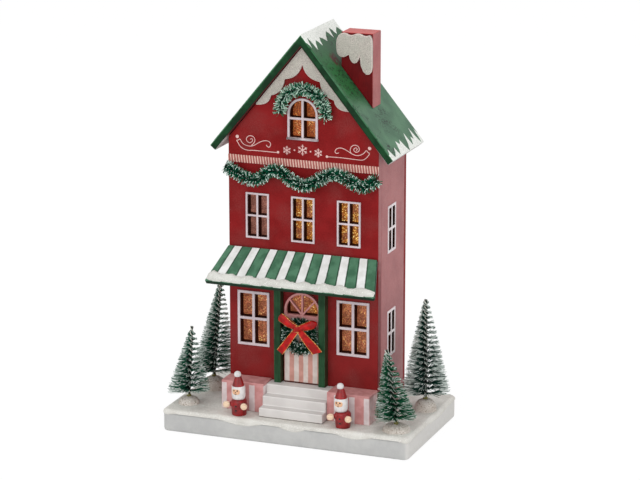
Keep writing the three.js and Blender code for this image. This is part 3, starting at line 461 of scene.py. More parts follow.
def satin_finish():
    """Red satin: fine cross threads and a slow change of tone along the ribbon."""
    finish = Finish("red_satin", Specular_IOR_Level=0.25)
    fold = finish.noise(5, 2).step(0.35, 0.7)
    return finish.coat(fold.mix((146, 2, 2), (198, 8, 5)), 0.36, finish.noise(0.3, 2, (4, 1, 1)), 0.06, 0.5)


def gold_finish():
    """Gold thread along the ribbon's edges."""
    finish = Finish("gold_edge", Specular_IOR_Level=0.5)
    glint = finish.noise(0.8, 2).step(0.42, 0.6)
    finish.set("Metallic", 0.55 + 0.25 * glint)
    return finish.coat(glint.mix((150, 74, 24), (240, 190, 110)), 0.42 - 0.12 * glint, finish.noise(0.4), 0.1, 0.6)


def lacquer(name, colour, shade, roughness=0.28):
    """Glossy paint on turned wood."""
    finish = Finish(name, Specular_IOR_Level=0.45)
    return finish.coat(finish.noise(4, 3).step(0.36, 0.64).mix(shade, colour), roughness + 0.12 * finish.noise(2),
                       finish.noise(1.4, 2), 0.12, 0.35)


def wood_finish():
    """Bare sanded beech, with fine grain lines."""
    finish = Finish("bare_beech", Specular_IOR_Level=0.25)
    rings = finish.node("TexWave", {"bands_direction": "Z"}, {
        "Vector": finish.spot(1), "Scale": 0.25, "Distortion": 3.0, "Detail": 2.0})
    return finish.coat(rings.mix((224, 190, 156), (248, 224, 198)), 0.5 + 0.15 * finish.noise(1.5), rings, 0.05, 0.5)


def moulded(name, colour, shade, roughness=0.4):
    """Fine-grained moulded plastic."""
    finish = Finish(name, Specular_IOR_Level=0.45)
    return finish.coat(finish.noise(12, 3).mix(shade, colour), roughness + 0.12 * finish.noise(1.2),
                       finish.noise(0.25, 2), 0.03, 0.6)


def cell_finish():
    """A plain dark jacket, scuffed down to its steel can."""
    finish = Finish("cell_jacket", Specular_IOR_Level=0.5)
    scuff = finish.noise(2.5, 4).step(0.5, 0.72)
    finish.set("Metallic", 0.5 + 0.3 * scuff)
    return finish.coat((scuff * 0.5).mix((38, 38, 42), (96, 96, 100)), 0.3 + 0.25 * scuff)


def ribbed_finish():
    """Grosgrain ribbon: dusty pink in the grooves, with narrow cream ribs."""
    finish = Finish("ribbed_ribbon", Specular_IOR_Level=0.2, Sheen_Weight=0.1)
    weave = finish.noise(0.35, 3)
    tone = (finish.attribute("rib") + (finish.noise(2.5, 2) - 0.5) * 0.5).step(0.45, 0.9)
    return finish.coat(tone.mix((172, 96, 90), (236, 200, 186)), 0.75 - 0.15 * weave, weave, 0.08, 0.6)


def wire_finish():
    """Twisted green wire with a painted highlight along its outer side."""
    finish = Finish("brush_wire", Specular_IOR_Level=0.5, Metallic=0.3)
    # The bright tone on the wires' outer sides is a painted highlight.
    tone = finish.attribute("outer").step(0.3, 0.9) * (0.6 + 0.4 * finish.noise(1.3, 2))
    return finish.coat(tone.mix((22, 30, 24), (226, 228, 216)), 0.35 + 0.2 * finish.noise(3))


# Making pieces
def span(node):
    """A node's lowest and highest corner, in millimetres."""
    low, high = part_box(node)
    return low / MM, high / MM


def centre_of(node):
    low, high = span(node)
    return (low + high) / 2


def piece(name, shape, finishes, slot, *stands_for, body="root", crease=35):
    """A finished piece from a shape in millimetres, standing for the named solids."""
    bmesh.ops.scale(shape, vec=(MM, MM, MM), verts=shape.verts)
    mesh = bpy.data.meshes.new(name)
    shape.to_mesh(mesh)
    shape.free()
    for finish in finishes if isinstance(finishes, list) else [finishes]:
        mesh.materials.append(finish.material)
    mesh.shade_smooth()
    mesh.set_sharp_from_angle(angle=math.radians(crease))
    made = bpy.data.objects.new(name, mesh)
    scene.collection.objects.link(made)
    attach(made, body)
    if stands_for:
        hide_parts(*stands_for)
    return made


def copied(node):
    """A solid's shape in millimetres, with its loose triangles merged into flat faces."""
    shape = bmesh.new()
    shape.from_mesh(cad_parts[node].data)
    bmesh.ops.remove_doubles(shape, verts=shape.verts, dist=1e-6)
    bmesh.ops.scale(shape, vec=(1 / MM, 1 / MM, 1 / MM), verts=shape.verts)
    bmesh.ops.dissolve_limit(shape, angle_limit=math.radians(1), verts=shape.verts, edges=shape.edges)
    return shape


def rounded(shape, width, segments=3, corner=30, keep=None):
    """Rounds every edge sharper than the corner angle but those kept, and marks the new strips as worn."""
    worn = shape.verts.layers.float.new("worn")
    sharp = [edge for edge in shape.edges
             if edge.calc_face_angle(0) > math.radians(corner) and not (keep and keep(edge))]
    made = bmesh.ops.bevel(shape, geom=sharp, offset=width, segments=segments, profile=0.5,
                           affect="EDGES", material=-1, clamp_overlap=True)
    strips = set(made["faces"])
    for vert in made["verts"]:
        if vert.is_valid and all(face in strips for face in vert.link_faces):
            vert[worn] = 1.0
    return shape


def board(node, width, finishes, slot, by_face=None, body="root", keep=None):
    """A wooden board: the solid's own shape with sanded edges. by_face picks a finish for each face."""
    shape = copied(node)
    if by_face:
        for face in shape.faces:
            face.material_index = by_face(face)
    made = piece(node + ("_painted" if node.endswith("board") else "_board"),
                 rounded(shape, width, keep=keep), finishes, slot, node, body=body)
    flat = made.modifiers.new("Flat faces", "WEIGHTED_NORMAL")
    flat.keep_sharp = True
    flat.weight = 100


def turned(profile, steps):
    """A shape turned on a lathe about Z, from points of radius and height on or off the axis."""
    shape = bmesh.new()
    points = [shape.verts.new((radius, 0, height)) for radius, height in profile]
    edges = [shape.edges.new(pair) for pair in zip(points, points[1:])]
    bmesh.ops.spin(shape, geom=points + edges, cent=(0, 0, 0), axis=(0, 0, 1), angle=2 * math.pi,
                   steps=steps, use_merge=True)
    return closed_up(shape)


def closed_up(shape):
    """Merges a shape's seams and points its faces outwards."""
    bmesh.ops.remove_doubles(shape, verts=shape.verts, dist=1e-4)
    bmesh.ops.recalc_face_normals(shape, faces=shape.faces)
    return shape


def ball(radius, around, up):
    """A ball with that many faces around it and from its foot up."""
    shape = bmesh.new()
    bmesh.ops.create_uvsphere(shape, u_segments=around, v_segments=up, radius=radius)
    return shape


def moved(shape, *, turn=0.0, tilt=0.0, place=(0, 0, 0)):
    """Turns a shape about Z after tilting it about X, then moves it to its place."""
    matrix = Matrix.Translation(place) @ Matrix.Rotation(turn, 4, "Z") @ Matrix.Rotation(tilt, 4, "X")
    bmesh.ops.transform(shape, matrix=matrix, verts=shape.verts)
    return shape


def coloured(shape, number):
    """Gives a whole shape the finish of that number."""
    for face in shape.faces:
        face.material_index = number
    return shape


def new_verts(made):
    """The points that an extrusion made."""
    return [item for item in made["geom"] if isinstance(item, bmesh.types.BMVert)]


def rim(shape):
    """The edges round the open side of a shape."""
    return [edge for edge in shape.edges if edge.is_boundary]


def joined(shapes):
    """Several shapes as one, each keeping its finish number and its attributes."""
    whole = bmesh.new()
    for shape in shapes:
        mesh = bpy.data.meshes.new("part")
        shape.to_mesh(mesh)
        shape.free()
        whole.from_mesh(mesh)
        bpy.data.meshes.remove(mesh)
    return whole


def sheet(columns, rows, rule):
    """A grid of faces whose points a rule places, from a share across and a share along."""
    shape = bmesh.new()
    bmesh.ops.create_grid(shape, x_segments=columns, y_segments=rows, size=0.5)
    for vert in shape.verts:
        vert.co = rule(vert.co.x + 0.5, vert.co.y + 0.5)
    return shape


def swept(path, radius, closed=False):
    """A round wire or cord along a path."""
    line = bpy.data.curves.new("line", "CURVE")
    line.dimensions = "3D"
    line.bevel_depth = radius
    line.bevel_resolution = 1
    line.use_fill_caps = not closed
    spline = line.splines.new("POLY")
    spline.points.add(len(path) - 1)
    for point, place in zip(spline.points, path):
        point.co = (*place, 1)
    spline.use_cyclic_u = closed
    holder = bpy.data.objects.new("line", line)
    mesh = bpy.data.meshes.new_from_object(holder)
    shape = bmesh.new()
    shape.from_mesh(mesh)
    bpy.data.objects.remove(holder)
    bpy.data.curves.remove(line)
    bpy.data.meshes.remove(mesh)
    return closed_up(shape)


def smooth_path(points, steps):
    """A smooth line through the points, with that many steps between each two."""
    ends = [points[0] * 2 - points[1], *points, points[-1] * 2 - points[-2]]
    path = []
    for before, start, end, after in zip(ends, ends[1:], ends[2:], ends[3:]):
        for i in range(steps):
            t = i / steps
            path.append(0.5 * (2 * start + (end - before) * t
                               + (2 * before - 5 * start + 4 * end - after) * t ** 2
                               + (3 * start - before - 3 * end + after) * t ** 3))
    path.append(points[-1])
    return path


def crumbs(place, size):
    """Uneven height between -1 and 1 at a place, with bumps of that size."""
    return noise.noise(Vector(place) / size)


def angles(count, turn=2 * math.pi):
    """Angles from 0 to a turn, in that many even steps."""
    return [turn * k / count for k in range(count + 1)]


def wall_way(angle):
    """One unit in the front wall's plane, at an angle from the right."""
    return Vector((math.cos(angle), 0, math.sin(angle)))


def plan_way(angle):
    """One unit in the plan, at an angle from the right."""
    return Vector((math.cos(angle), math.sin(angle), 0))


# Measures taken from the frame
base_low, base_high = span("base_board")
GROUND = span("base_snow")[1].z
wall_low, wall_high = span("front_wall")
HOUSE_X = (wall_low.x + wall_high.x) / 2
FRONT_Y = wall_low.y
ridge = span("roof_panel_right")[1].z
ROOF_PITCH = math.radians(50.6)
EAVES_Z = GROUND + 252
SIDES = ("left", "right")
SIDE_FRAME_DEPTH = 0.45


# Boards
def wall_face(face):
    """0 on the painted faces of the front wall, 2 on its ends and 1 inside its holes."""
    place = face.calc_center_median()
    if abs(face.normal.y) > 0.9 or face.normal.z < -0.9 and place.z < GROUND + 1:
        return 0
    if from_side(place) < 0.1:
        return 2
    return 0 if place.z > EAVES_Z and abs(below_slope(place)) < 3 else 1


def below_slope(place):
    """How far a place is under the gable's sloping edge."""
    return wall_high.z - place.z - abs(place.x - HOUSE_X) * math.tan(ROOF_PITCH)


def from_side(place):
    """How far a place is in from the nearer side of the front wall."""
    return min(place.x - wall_low.x, wall_high.x - place.x)


def in_hole(edge):
    """Whether an edge is inside the front wall, where a window frame hides it."""
    place = (edge.verts[0].co + edge.verts[1].co) / 2
    return from_side(place) > 1 and place.z > GROUND + 1 and below_slope(place) > 3


def build_walls():
    # The faces inside the front wall's holes are painted dark brown as painted shade.
    front_reveal_shade = paint("reveal_brown", (66, 24, 16), (48, 14, 10), 0.7, (1, 1, 1), 0.1)
    shaded = paint("reveal_shade", (38, 16, 14), (24, 10, 9), 0.7, (1, 1, 1), 0.05)
    # The side walls and the front wall's ends get a pink painted sheen.
    red, side_sheen_red = wall_finish(), sheened_red_finish()
    end_sheen_red = sheened_red_finish("wall_end_red", front=(110, 20, 24))
    board("front_wall", 0.5, [red, front_reveal_shade, end_sheen_red], "red_paint", wall_face, keep=in_hole)
    board("back_wall", 0.5, red, "red_paint")
    for side in SIDES:
        low, high = span(f"side_wall_{side}")

        def in_window(face):
            place = face.calc_center_median()
            inside = low.y + 1 < place.y < high.y - 1 and low.z + 1 < place.z < high.z - 4
            return int(abs(face.normal.x) < 0.9 and inside)

        board(f"side_wall_{side}", 0.4, [side_sheen_red, shaded], "red_paint", in_window)


def build_roof():
    def roof_face(face):
        if abs(face.normal.y) > 0.9:
            return 1
        return 0 if face.normal.z > 0 or abs(face.normal.x) > 0.95 else 2

    finishes = [roof_finish(), fascia_finish(), eave_finish()]
    for side in SIDES:
        board(f"roof_panel_{side}", 0.8, finishes, "green_paint", roof_face,
              keep=lambda edge: all(abs(vert.co.x - HOUSE_X) < 0.5 for vert in edge.verts))
    # The chimney's side and top are paler copies of its red: painted sheen, with painted light on the top.
    brick = [paint("chimney_red", (112, 16, 20), (94, 12, 16), 0.5, sheen=0.12, worn=(140, 50, 50)),
             sheened_red_finish("chimney_side_red", (153, 75, 76), (175, 96, 95)),
             sheened_red_finish("chimney_top_red", (176, 66, 62), (200, 88, 82))]
    board("chimney", 0.7, brick, "red_paint",
          lambda face: 0 if abs(face.normal.y) > 0.9 else 2 if face.normal.z > 0.9 else 1)
    glitter = glitter_board_finish()
    board("chimney_snow", 0.5, glitter, "glitter_board")
    board("gable_snow", 0.4, glitter, "glitter_board")


def build_frames():
    """Window frames; those on the side walls stand less proud than their solids and are painted whiter, as painted
    light.
    """
    lilac = paint("frame_white", (216, 202, 206), (200, 185, 190), 0.55, (1, 1, 3), 0.25, (152, 114, 116))
    # The side frames' whiter paint is painted light.
    side_frame_lit = paint("side_frame_white", (236, 227, 229), (224, 213, 216), 0.55, (1, 1, 3), 0.25, (214, 196, 200))
    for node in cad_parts:
        if node.startswith("side_window_frame"):
            low, high = span(node)
            wall = low.x if low.x > HOUSE_X else high.x
            shape = copied(node)
            for vert in shape.verts:
                vert.co.x = wall + (vert.co.x - wall) * SIDE_FRAME_DEPTH
            piece(node + "_board", rounded(shape, 0.15, 2), side_frame_lit, "frame_paint", node)
        elif "window_frame" in node:
            board(node, 0.45, lilac, "frame_paint")


def build_porch():
    """Steps, the boxes beside them, the door and its posts."""
    board("front_steps", 1.0, step_finish(), "step_paint")
    pinks = ((196, 134, 132), (212, 154, 152))
    whites = ((214, 198, 198), (228, 216, 216))
    for side, start, pitch in (("left", -67.0, 13.85), ("right", 43.9, 14.4)):
        top = span(f"porch_box_{side}")[1].z - 2.2
        finish = striped_finish(f"porch_stripes_{side}", pitch, start, 5.6, pinks, whites, top)
        board(f"porch_box_{side}", 0.9, finish, "pink_paint")
    pinks = ((188, 136, 124), (204, 150, 138))
    whites = ((204, 190, 182), (216, 203, 196))
    # The door's dark foot line is a painted shadow, and its lighter pink above the stripes is painted light.
    foot = span("door_board")[0].z + 1.2
    door = striped_finish("door_stripes", 9.1, 6.5, 4.6, pinks, whites, 100, foot, (208, 144, 142))
    board("door_board", 0.35, door, "pink_paint")
    post = paint("post_green", (38, 78, 48), (24, 56, 32), 0.55, (1, 1, 8), 0.15, (62, 104, 76))
    shade = paint("post_shade", (58, 58, 38), (42, 44, 27), 0.6, (1, 1, 8), 0.1)
    for side in SIDES:
        board(f"post_{side}", 0.8, [post, shade], "green_paint", lambda face: int(face.normal.x > 0.9))


# Awning: its size, and its stripes as shares of its half width
AWNING_TOP_Z = GROUND + 151
AWNING_REACH = 34.4
AWNING_DROP = 26.3
AWNING_LENGTH = math.hypot(AWNING_REACH, AWNING_DROP)
AWNING_HALF_TOP = 72.2
AWNING_HALF_LOW = 82.1
AWNING_SNOW = 8.2
AWNING_PITCH = 0.2404
AWNING_WHITE = 0.0485
AWNING_SHIFT = -1.25


def awning_point(across, down, proud):
    """A point on the awning: across from its middle, down its slope, and proud of its face."""
    cos, sin = AWNING_REACH / AWNING_LENGTH, AWNING_DROP / AWNING_LENGTH
    top_y = span("awning_board")[1].y - 4 * sin
    return Vector((HOUSE_X + across, top_y - down * cos - proud * sin, AWNING_TOP_Z - down * sin + proud * cos))


def build_awning():
    edge = paint("awning_edge", (20, 50, 32), (12, 34, 21), 0.5, (1, 1, 1), 0.15)
    outward = Vector((0, -AWNING_DROP, AWNING_REACH)).normalized()
    board("awning_board", 0.9, [awning_finish(), edge], "green_paint",
          lambda face: int(face.normal.dot(outward) <= 0.9))
    reach = AWNING_HALF_LOW - 1.4

    def heap(across, along):
        """The snow along the lip: lobed up the slope, domed, and narrower at both ends."""
        x = (across * 2 - 1) * reach
        end = math.sqrt(min(1, (1 - abs(across * 2 - 1)) * reach / 5))
        lobes = 1.1 * math.sin(across * 57) + 1.2 * crumbs((x, 3, 0), 6.5) + 1.0 * crumbs((x, 9, 0), 2.6)
        width = (AWNING_SNOW + 2.5 * max(0, 1 - across * 6) + lobes) * (0.55 + 0.45 * end)
        height = 3.0 * (1 - abs(along * 2 - 1) ** 3.2) * end
        lumps = 0.5 * crumbs((x, along * 12, 4), 2.2) + 0.4 * crumbs((x, along * 14, 8), 1.0)
        low = AWNING_LENGTH - 1.2 + 0.5 * crumbs((x, 5, 2), 4) - 1.4 * (1 - end)
        return awning_point(x, low - along * width, max(0.04, height + lumps * min(1, height)))

    shape = sheet(260, 14, heap)
    made = bmesh.ops.extrude_edge_only(shape, edges=rim(shape))
    bmesh.ops.translate(shape, vec=-0.5 * outward, verts=new_verts(made))
    bmesh.ops.contextual_create(shape, geom=rim(shape))
    bmesh.ops.recalc_face_normals(shape, faces=shape.faces)
    snow = snow_finish("awning_snow_paste", (226, 226, 220), (207, 207, 200), 0.8, 0.93)
    piece("awning_snow_heap", shape, snow, "snow_paste", "awning_snow", crease=60)


# Base: a painted board with snow paste that rolls over its edges and runs down its sides in waves
SNOW_PROUD = 0.7
SNOW_ROLL = 3.4
BASE_CORNER = 5.6
FRONT_WAVES = [(-119, 5), (-89, 0.6), (-38, 7), (-13, 2.8), (10, 7), (31, 1), (69, 6.8), (99, 1.5), (120, 5.4)]


def base_outline(share, proud):
    """A point round the base's plan, at a share of the way round, that far outside its sides."""
    half_x = (base_high.x - base_low.x) / 2 - BASE_CORNER
    half_y = (base_high.y - base_low.y) / 2 - BASE_CORNER
    corners = [(half_x, -half_y), (half_x, half_y), (-half_x, half_y), (-half_x, -half_y)]
    lengths = (2 * half_y, 2 * half_x) * 2
    bend = math.pi * BASE_CORNER / 2
    radius = BASE_CORNER + proud
    left = (share % 1) * (sum(lengths) + 4 * bend)
    for side, length in enumerate(lengths):
        heading = side * math.pi / 2
        if left <= length:
            out, forward = plan_way(heading), plan_way(heading + math.pi / 2)
            return Vector((*corners[side], 0)) + out * radius + forward * left
        left -= length
        if left <= bend or side == 3:
            return Vector((*corners[(side + 1) % 4], 0)) + plan_way(heading + left / BASE_CORNER) * radius
        left -= bend


def snow_fall(point):
    """How far the snow runs down the base's side at a point round it."""
    along = point.x + 0.6 * point.y
    fall = 4.2 + 2.4 * math.sin(along / 9.5 + 0.6) + 1.2 * crumbs((along, 0, 5), 9)
    front = min(1, max(0, (-point.y - base_high.y + 10) / 8))
    if front:
        x = min(max(point.x, FRONT_WAVES[0][0]), FRONT_WAVES[-1][0])
        for (start, first), (end, last) in zip(FRONT_WAVES, FRONT_WAVES[1:]):
            if start <= x <= end:
                share = 0.5 - 0.5 * math.cos(math.pi * (x - start) / (end - start))
                measured = first + (last - first) * share + 0.35 * crumbs((x, 0, 5), 3)
        fall += (measured - fall) * front
    return max(0.4, fall)


def snow_skirt(across, along):
    """The snow's outer side, from under the roll of its edge at 0 down to its ragged foot at 1."""
    edge = base_outline(across, 0)
    bottom = -max(snow_fall(edge), SNOW_ROLL - 1.4)
    top = -SNOW_ROLL + 1.2
    lip = SNOW_PROUD * (0.8 + 0.3 * crumbs((edge.x, edge.y, 7), 6)
                        + 0.2 * crumbs((edge.x, edge.y, along * 9), 2.4))
    if along == 0:
        lip = -0.25
    elif along >= 0.8:
        lip = lip * (1 - ((along - 0.8) / 0.2) ** 2) - 0.1
    point = base_outline(across, lip)
    point.z = GROUND + top + (bottom - top) * along
    return point


SNOW_COLUMNS, SNOW_LINES, SNOW_ROLL_ROWS = 240, 140, 8


def snow_inset(step, count, size):
    """How far in from the edge a row lies, closer together where the snow rolls over the edge."""
    if step < SNOW_ROLL_ROWS:
        return SNOW_ROLL * (1 - math.cos(math.pi / 2 * step / SNOW_ROLL_ROWS))
    return SNOW_ROLL + (size - SNOW_ROLL) * (step - SNOW_ROLL_ROWS) / (count / 2 - SNOW_ROLL_ROWS)


def snow_top(across, along):
    """The snow's upper side, rolled down at its edges, rounded at its corners and trodden in front of the door."""
    half_x = (base_high.x - base_low.x) / 2 + SNOW_PROUD
    half_y = (base_high.y - base_low.y) / 2 + SNOW_PROUD
    i, j = round(across * SNOW_COLUMNS), round(along * SNOW_LINES)
    step_x, step_y = min(i, SNOW_COLUMNS - i), min(j, SNOW_LINES - j)
    step = min(step_x, step_y)
    roll = min(1, step / SNOW_ROLL_ROWS)

    def inside(step_x, step_y):
        return Vector((half_x - snow_inset(step_x, SNOW_COLUMNS, half_x),
                       half_y - snow_inset(step_y, SNOW_LINES, half_y)))

    place, ring = inside(step_x, step_y), inside(step, step)
    bend = max(0, BASE_CORNER + SNOW_PROUD - (half_x - ring.x))
    corner = Vector((max(0, place.x - ring.x + bend), max(0, place.y - ring.y + bend)))
    if corner.length > bend > 0:
        place -= corner * (1 - bend / corner.length)
    x = math.copysign(place.x, across - 0.5)
    y = math.copysign(place.y, along - 0.5)
    drop = SNOW_ROLL * (1 - math.sin(math.pi / 2 * roll))
    lumps = 0.45 * crumbs((x, y, 0), 14) + 0.3 * crumbs((x, y, 3), 4.5) + 0.16 * crumbs((x, y, 6), 1.7)
    if abs(x - HOUSE_X) < 34 and y < FRONT_Y - 20:
        lumps = min(lumps, 0) * 0.5 - 0.1
    return Vector((x, y, GROUND - drop + (lumps + 0.15) * roll))


def build_base():
    grey = paint("base_grey", (195, 195, 193), (186, 186, 185), 0.7, (3, 3, 3), 0.2)
    sunny = grey.axis("X").step(base_high.x - 4, base_high.x - 1)
    lit = grey.noise(5, 3).mix((207, 205, 201), (219, 217, 214))
    grey.set("Base Color", sunny.mix(grey.colour, lit))
    shape = bmesh.new()
    bmesh.ops.create_cube(shape, size=1, matrix=Matrix.Translation((base_low + base_high) / 2)
                          @ Matrix.Diagonal((*(base_high - base_low), 1)))
    corners = [edge for edge in shape.edges if abs(edge.verts[0].co.z - edge.verts[1].co.z) > 1]
    bmesh.ops.bevel(shape, geom=corners, offset=BASE_CORNER, segments=8, profile=0.5, affect="EDGES")
    piece("base_board_painted", rounded(shape, 2.2, 3, 60), grey, "base_paint", "base_board")

    side = sheet(420, 8, snow_skirt)
    bmesh.ops.remove_doubles(side, verts=side.verts, dist=1e-3)
    snow = snow_finish("ground_snow", (228, 226, 220), (211, 208, 201), 1.0, 0.94)
    piece("base_snow_paste", joined([side, sheet(SNOW_COLUMNS, SNOW_LINES, snow_top)]), snow, "snow_paste",
          "base_snow", crease=60)


# Brush trees: the lowest strands' length, the tip's lean, the wire's pitch, the step up from strand to strand and
# their spread round it, the share of frosted strands, the bare wire above them and their green
TREES = {
    "left_front": {"radius": 20.2, "lean": 3.9, "pitch": 10.1, "step": 0.072, "spread": 0.12, "frost": 0.5,
                   "bare": 4.2, "green": (16, 92, 66)},
    "left_back": {"radius": 21.5, "lean": 7.7, "pitch": 9.4, "step": 0.066, "spread": 0.1, "frost": 0.62,
                  "bare": 2.4, "green": (14, 86, 62)},
    "right_front": {"radius": 19.4, "lean": -9.8, "pitch": 10.2, "step": 0.05, "spread": 0.36, "frost": 0.36,
                    "bare": 3.4, "green": (12, 96, 62)},
    "right_back": {"radius": 23.0, "lean": -0.5, "pitch": 9.7, "step": 0.062, "spread": 0.1, "frost": 0.7,
                   "bare": 2.4, "green": (14, 68, 54)},
}
WIRE_RADIUS = 0.9
WIRE_APART = 0.85
BRUSH_FOOT = 3.5
STRAND_SHORTEST = 2.3
STRAND_TAPER = 0.92
STRAND_BENDS = (-0.7, -0.1, 0.4, 1.0)
STRAND_FROSTS = (0.0, 0.55, 1.0)


def strand_master(root, tip, bend, frost, flat=1.0, sides=3, rings=3):
    """One strand along Z, of unit length, as a mesh that is copied many times."""
    shape = bmesh.new()
    along = shape.verts.layers.float.new("along")
    chance = shape.verts.layers.float.new("frost")
    bmesh.ops.create_circle(shape, cap_ends=True, segments=sides, radius=root)
    face = shape.faces[:]
    for i in range(rings):
        made = bmesh.ops.extrude_face_region(shape, geom=face)
        verts = new_verts(made)
        face = [item for item in made["geom"] if isinstance(item, bmesh.types.BMFace)]
        before, share = i / rings, (i + 1) / rings
        width = (root + (tip - root) * share) / (root + (tip - root) * before)
        bmesh.ops.scale(shape, vec=(width, width, 1), verts=verts,
                        space=Matrix.Translation((-bend * before ** 2, 0, 0)))
        bmesh.ops.translate(shape, vec=(bend * (share ** 2 - before ** 2), 0, 1 / rings), verts=verts)
        for vert in verts:
            vert[along] = share
    for vert in shape.verts:
        vert[chance] = frost
        vert.co.y *= flat
    bmesh.ops.recalc_face_normals(shape, faces=shape.faces)
    mesh = bpy.data.meshes.new("strand")
    shape.to_mesh(mesh)
    shape.free()
    return mesh


def strands(masters, placements):
    """Copies of the masters at their placements, as one shape."""
    whole = bmesh.new()
    for which, matrix in placements:
        copy = masters[which].copy()
        copy.transform(matrix)
        whole.from_mesh(copy)
        bpy.data.meshes.remove(copy)
    for master in masters:
        bpy.data.meshes.remove(master)
    return whole


def twisted_wire(height, pitch, steps=14):
    """Two wires twisted together about Z, as a left-handed screw, with their outer sides marked for a painted
    highlight.
    """
    wires = []
    turns = height / pitch
    count = int(steps * turns)
    for start in (math.pi / 2, 1.5 * math.pi):
        shape = bmesh.new()
        bmesh.ops.create_circle(shape, cap_ends=True, segments=8, radius=WIRE_RADIUS,
                                matrix=Matrix.Rotation(math.pi / 2, 4, "X"))
        bmesh.ops.translate(shape, vec=(WIRE_APART, 0, WIRE_RADIUS), verts=shape.verts)
        bmesh.ops.spin(shape, geom=shape.faces[:], cent=(0, 0, 0), axis=(0, 0, 1),
                       dvec=(0, 0, (height - 2 * WIRE_RADIUS) / count), angle=-2 * math.pi * turns, steps=count)
        moved(shape, turn=start)
        bmesh.ops.recalc_face_normals(shape, faces=shape.faces)
        # Marks the outer sides, where the wire gets a painted highlight.
        outer = shape.verts.layers.float.new("outer")
        for vert in shape.verts:
            vert[outer] = float(vert.co.xy.length > WIRE_APART + WIRE_RADIUS * 0.6)
        wires.append(shape)
    return joined(wires)


def bristles(tree, height, dice):
    """A tree's strands: two opposite rows that turn with the wire, shorter towards the tip."""
    placements = []
    brushed = height - BRUSH_FOOT - tree["bare"]
    count = int(brushed / tree["step"])
    for i in range(count):
        share = i / (count - 1)
        z = BRUSH_FOOT + share * brushed
        length = STRAND_SHORTEST + (tree["radius"] - STRAND_SHORTEST) * (1 - share) ** STRAND_TAPER
        for side in (0, math.pi):
            heading = -2 * math.pi * z / tree["pitch"] + side + dice.gauss(0, tree["spread"])
            rise = math.radians(8 - 4 * share + dice.gauss(0, 2.4))
            reach = length * dice.uniform(0.88, 1.05)
            matrix = (Matrix.Translation((0, 0, z + dice.gauss(0, 0.14)))
                      @ Matrix.Rotation(heading, 4, "Z")
                      @ Matrix.Rotation(math.pi / 2 - rise, 4, "Y")
                      @ Matrix.Rotation(math.pi / 2 * dice.randrange(4), 4, "Z")
                      @ Matrix.Diagonal((1, 1, reach, 1)))
            frosted = dice.random() < tree["frost"]
            level = (2 if dice.random() < 0.7 else 1) if frosted else 0
            placements.append((3 * dice.randrange(4) + level, matrix))
    masters = [strand_master(0.2, 0.22, bend, frost) for bend in STRAND_BENDS for frost in STRAND_FROSTS]
    return strands(masters, placements)


def build_trees():
    wire = wire_finish()
    plug = moulded("mound_plug", (126, 120, 66), (96, 92, 46), 0.6)
    mound_snow = snow_finish("mound_snow", (218, 211, 204), (190, 180, 170), 1.1, 0.95, (128, 108, 82))
    for number, (name, tree) in enumerate(TREES.items()):
        low, high = span(f"mound_{name}")
        foot = Vector(((low.x + high.x) / 2, (low.y + high.y) / 2, high.z))
        height = span(f"tree_{name}")[1].z - high.z
        dark = [channel * 0.25 for channel in tree["green"]]
        bristle = bristle_finish(f"bristle_{name}", dark, tree["green"], (232, 240, 235), 0.66)
        stub = turned([(0, 2.0), (1.2, 1.8), (1.9, 1.2), (2.3, 0), (2.3, -0.8), (0, -0.8)], 20)
        whole = joined([bristles(tree, height, random.Random(40 + number)),
                        coloured(twisted_wire(height, tree["pitch"]), 1), coloured(stub, 2)])
        shear = Matrix.Identity(4)
        shear[0][2] = tree["lean"] / height
        bmesh.ops.transform(whole, matrix=Matrix.Translation(foot) @ shear, verts=whole.verts)
        piece(f"brush_{name}", whole, [bristle, wire, plug], "bristle", f"tree_{name}", crease=50)

        radius, tall = (high.x - low.x) / 2, high.z - low.z
        profile = [(radius * math.cos(a) ** 0.8, tall * math.sin(a)) for a in angles(12, math.pi / 2)]
        dome = turned([(0, 0), (radius, 0), *profile[1:-1], (0, tall)], 44)
        for vert in dome.verts:
            lump = 0.5 * crumbs(vert.co + Vector((number * 30, 0, 0)), 4) + 0.3 * crumbs(vert.co, 1.6)
            if vert.co.z > 0.2:
                vert.co += vert.co.normalized() * lump
        moved(dome, place=(foot.x, foot.y, low.z - 0.05))
        piece(f"snow_mound_{name}", dome, mound_snow, "snow_paste", f"mound_{name}", crease=60)


# Garlands of tinsel
SWAG_HALF = 73
SWAG_WAVES = [(-1, 0), (-0.63, 1), (-0.33, 0), (0.04, 1.1), (0.44, -0.1), (0.8, 0.75), (1, 0.1)]
SWAG_DIP = 11
SWAG_BELOW_EAVES = 26
ARCH_RADIUS = 21.6
ARCH_CENTRE = (2, 28.6)
ARCH_START = 185
ARCH_SWEEP = 194
ARCH_STEPS = 32
WREATH_INSET = 5.3
GOLDEN_ANGLE = 2.399963


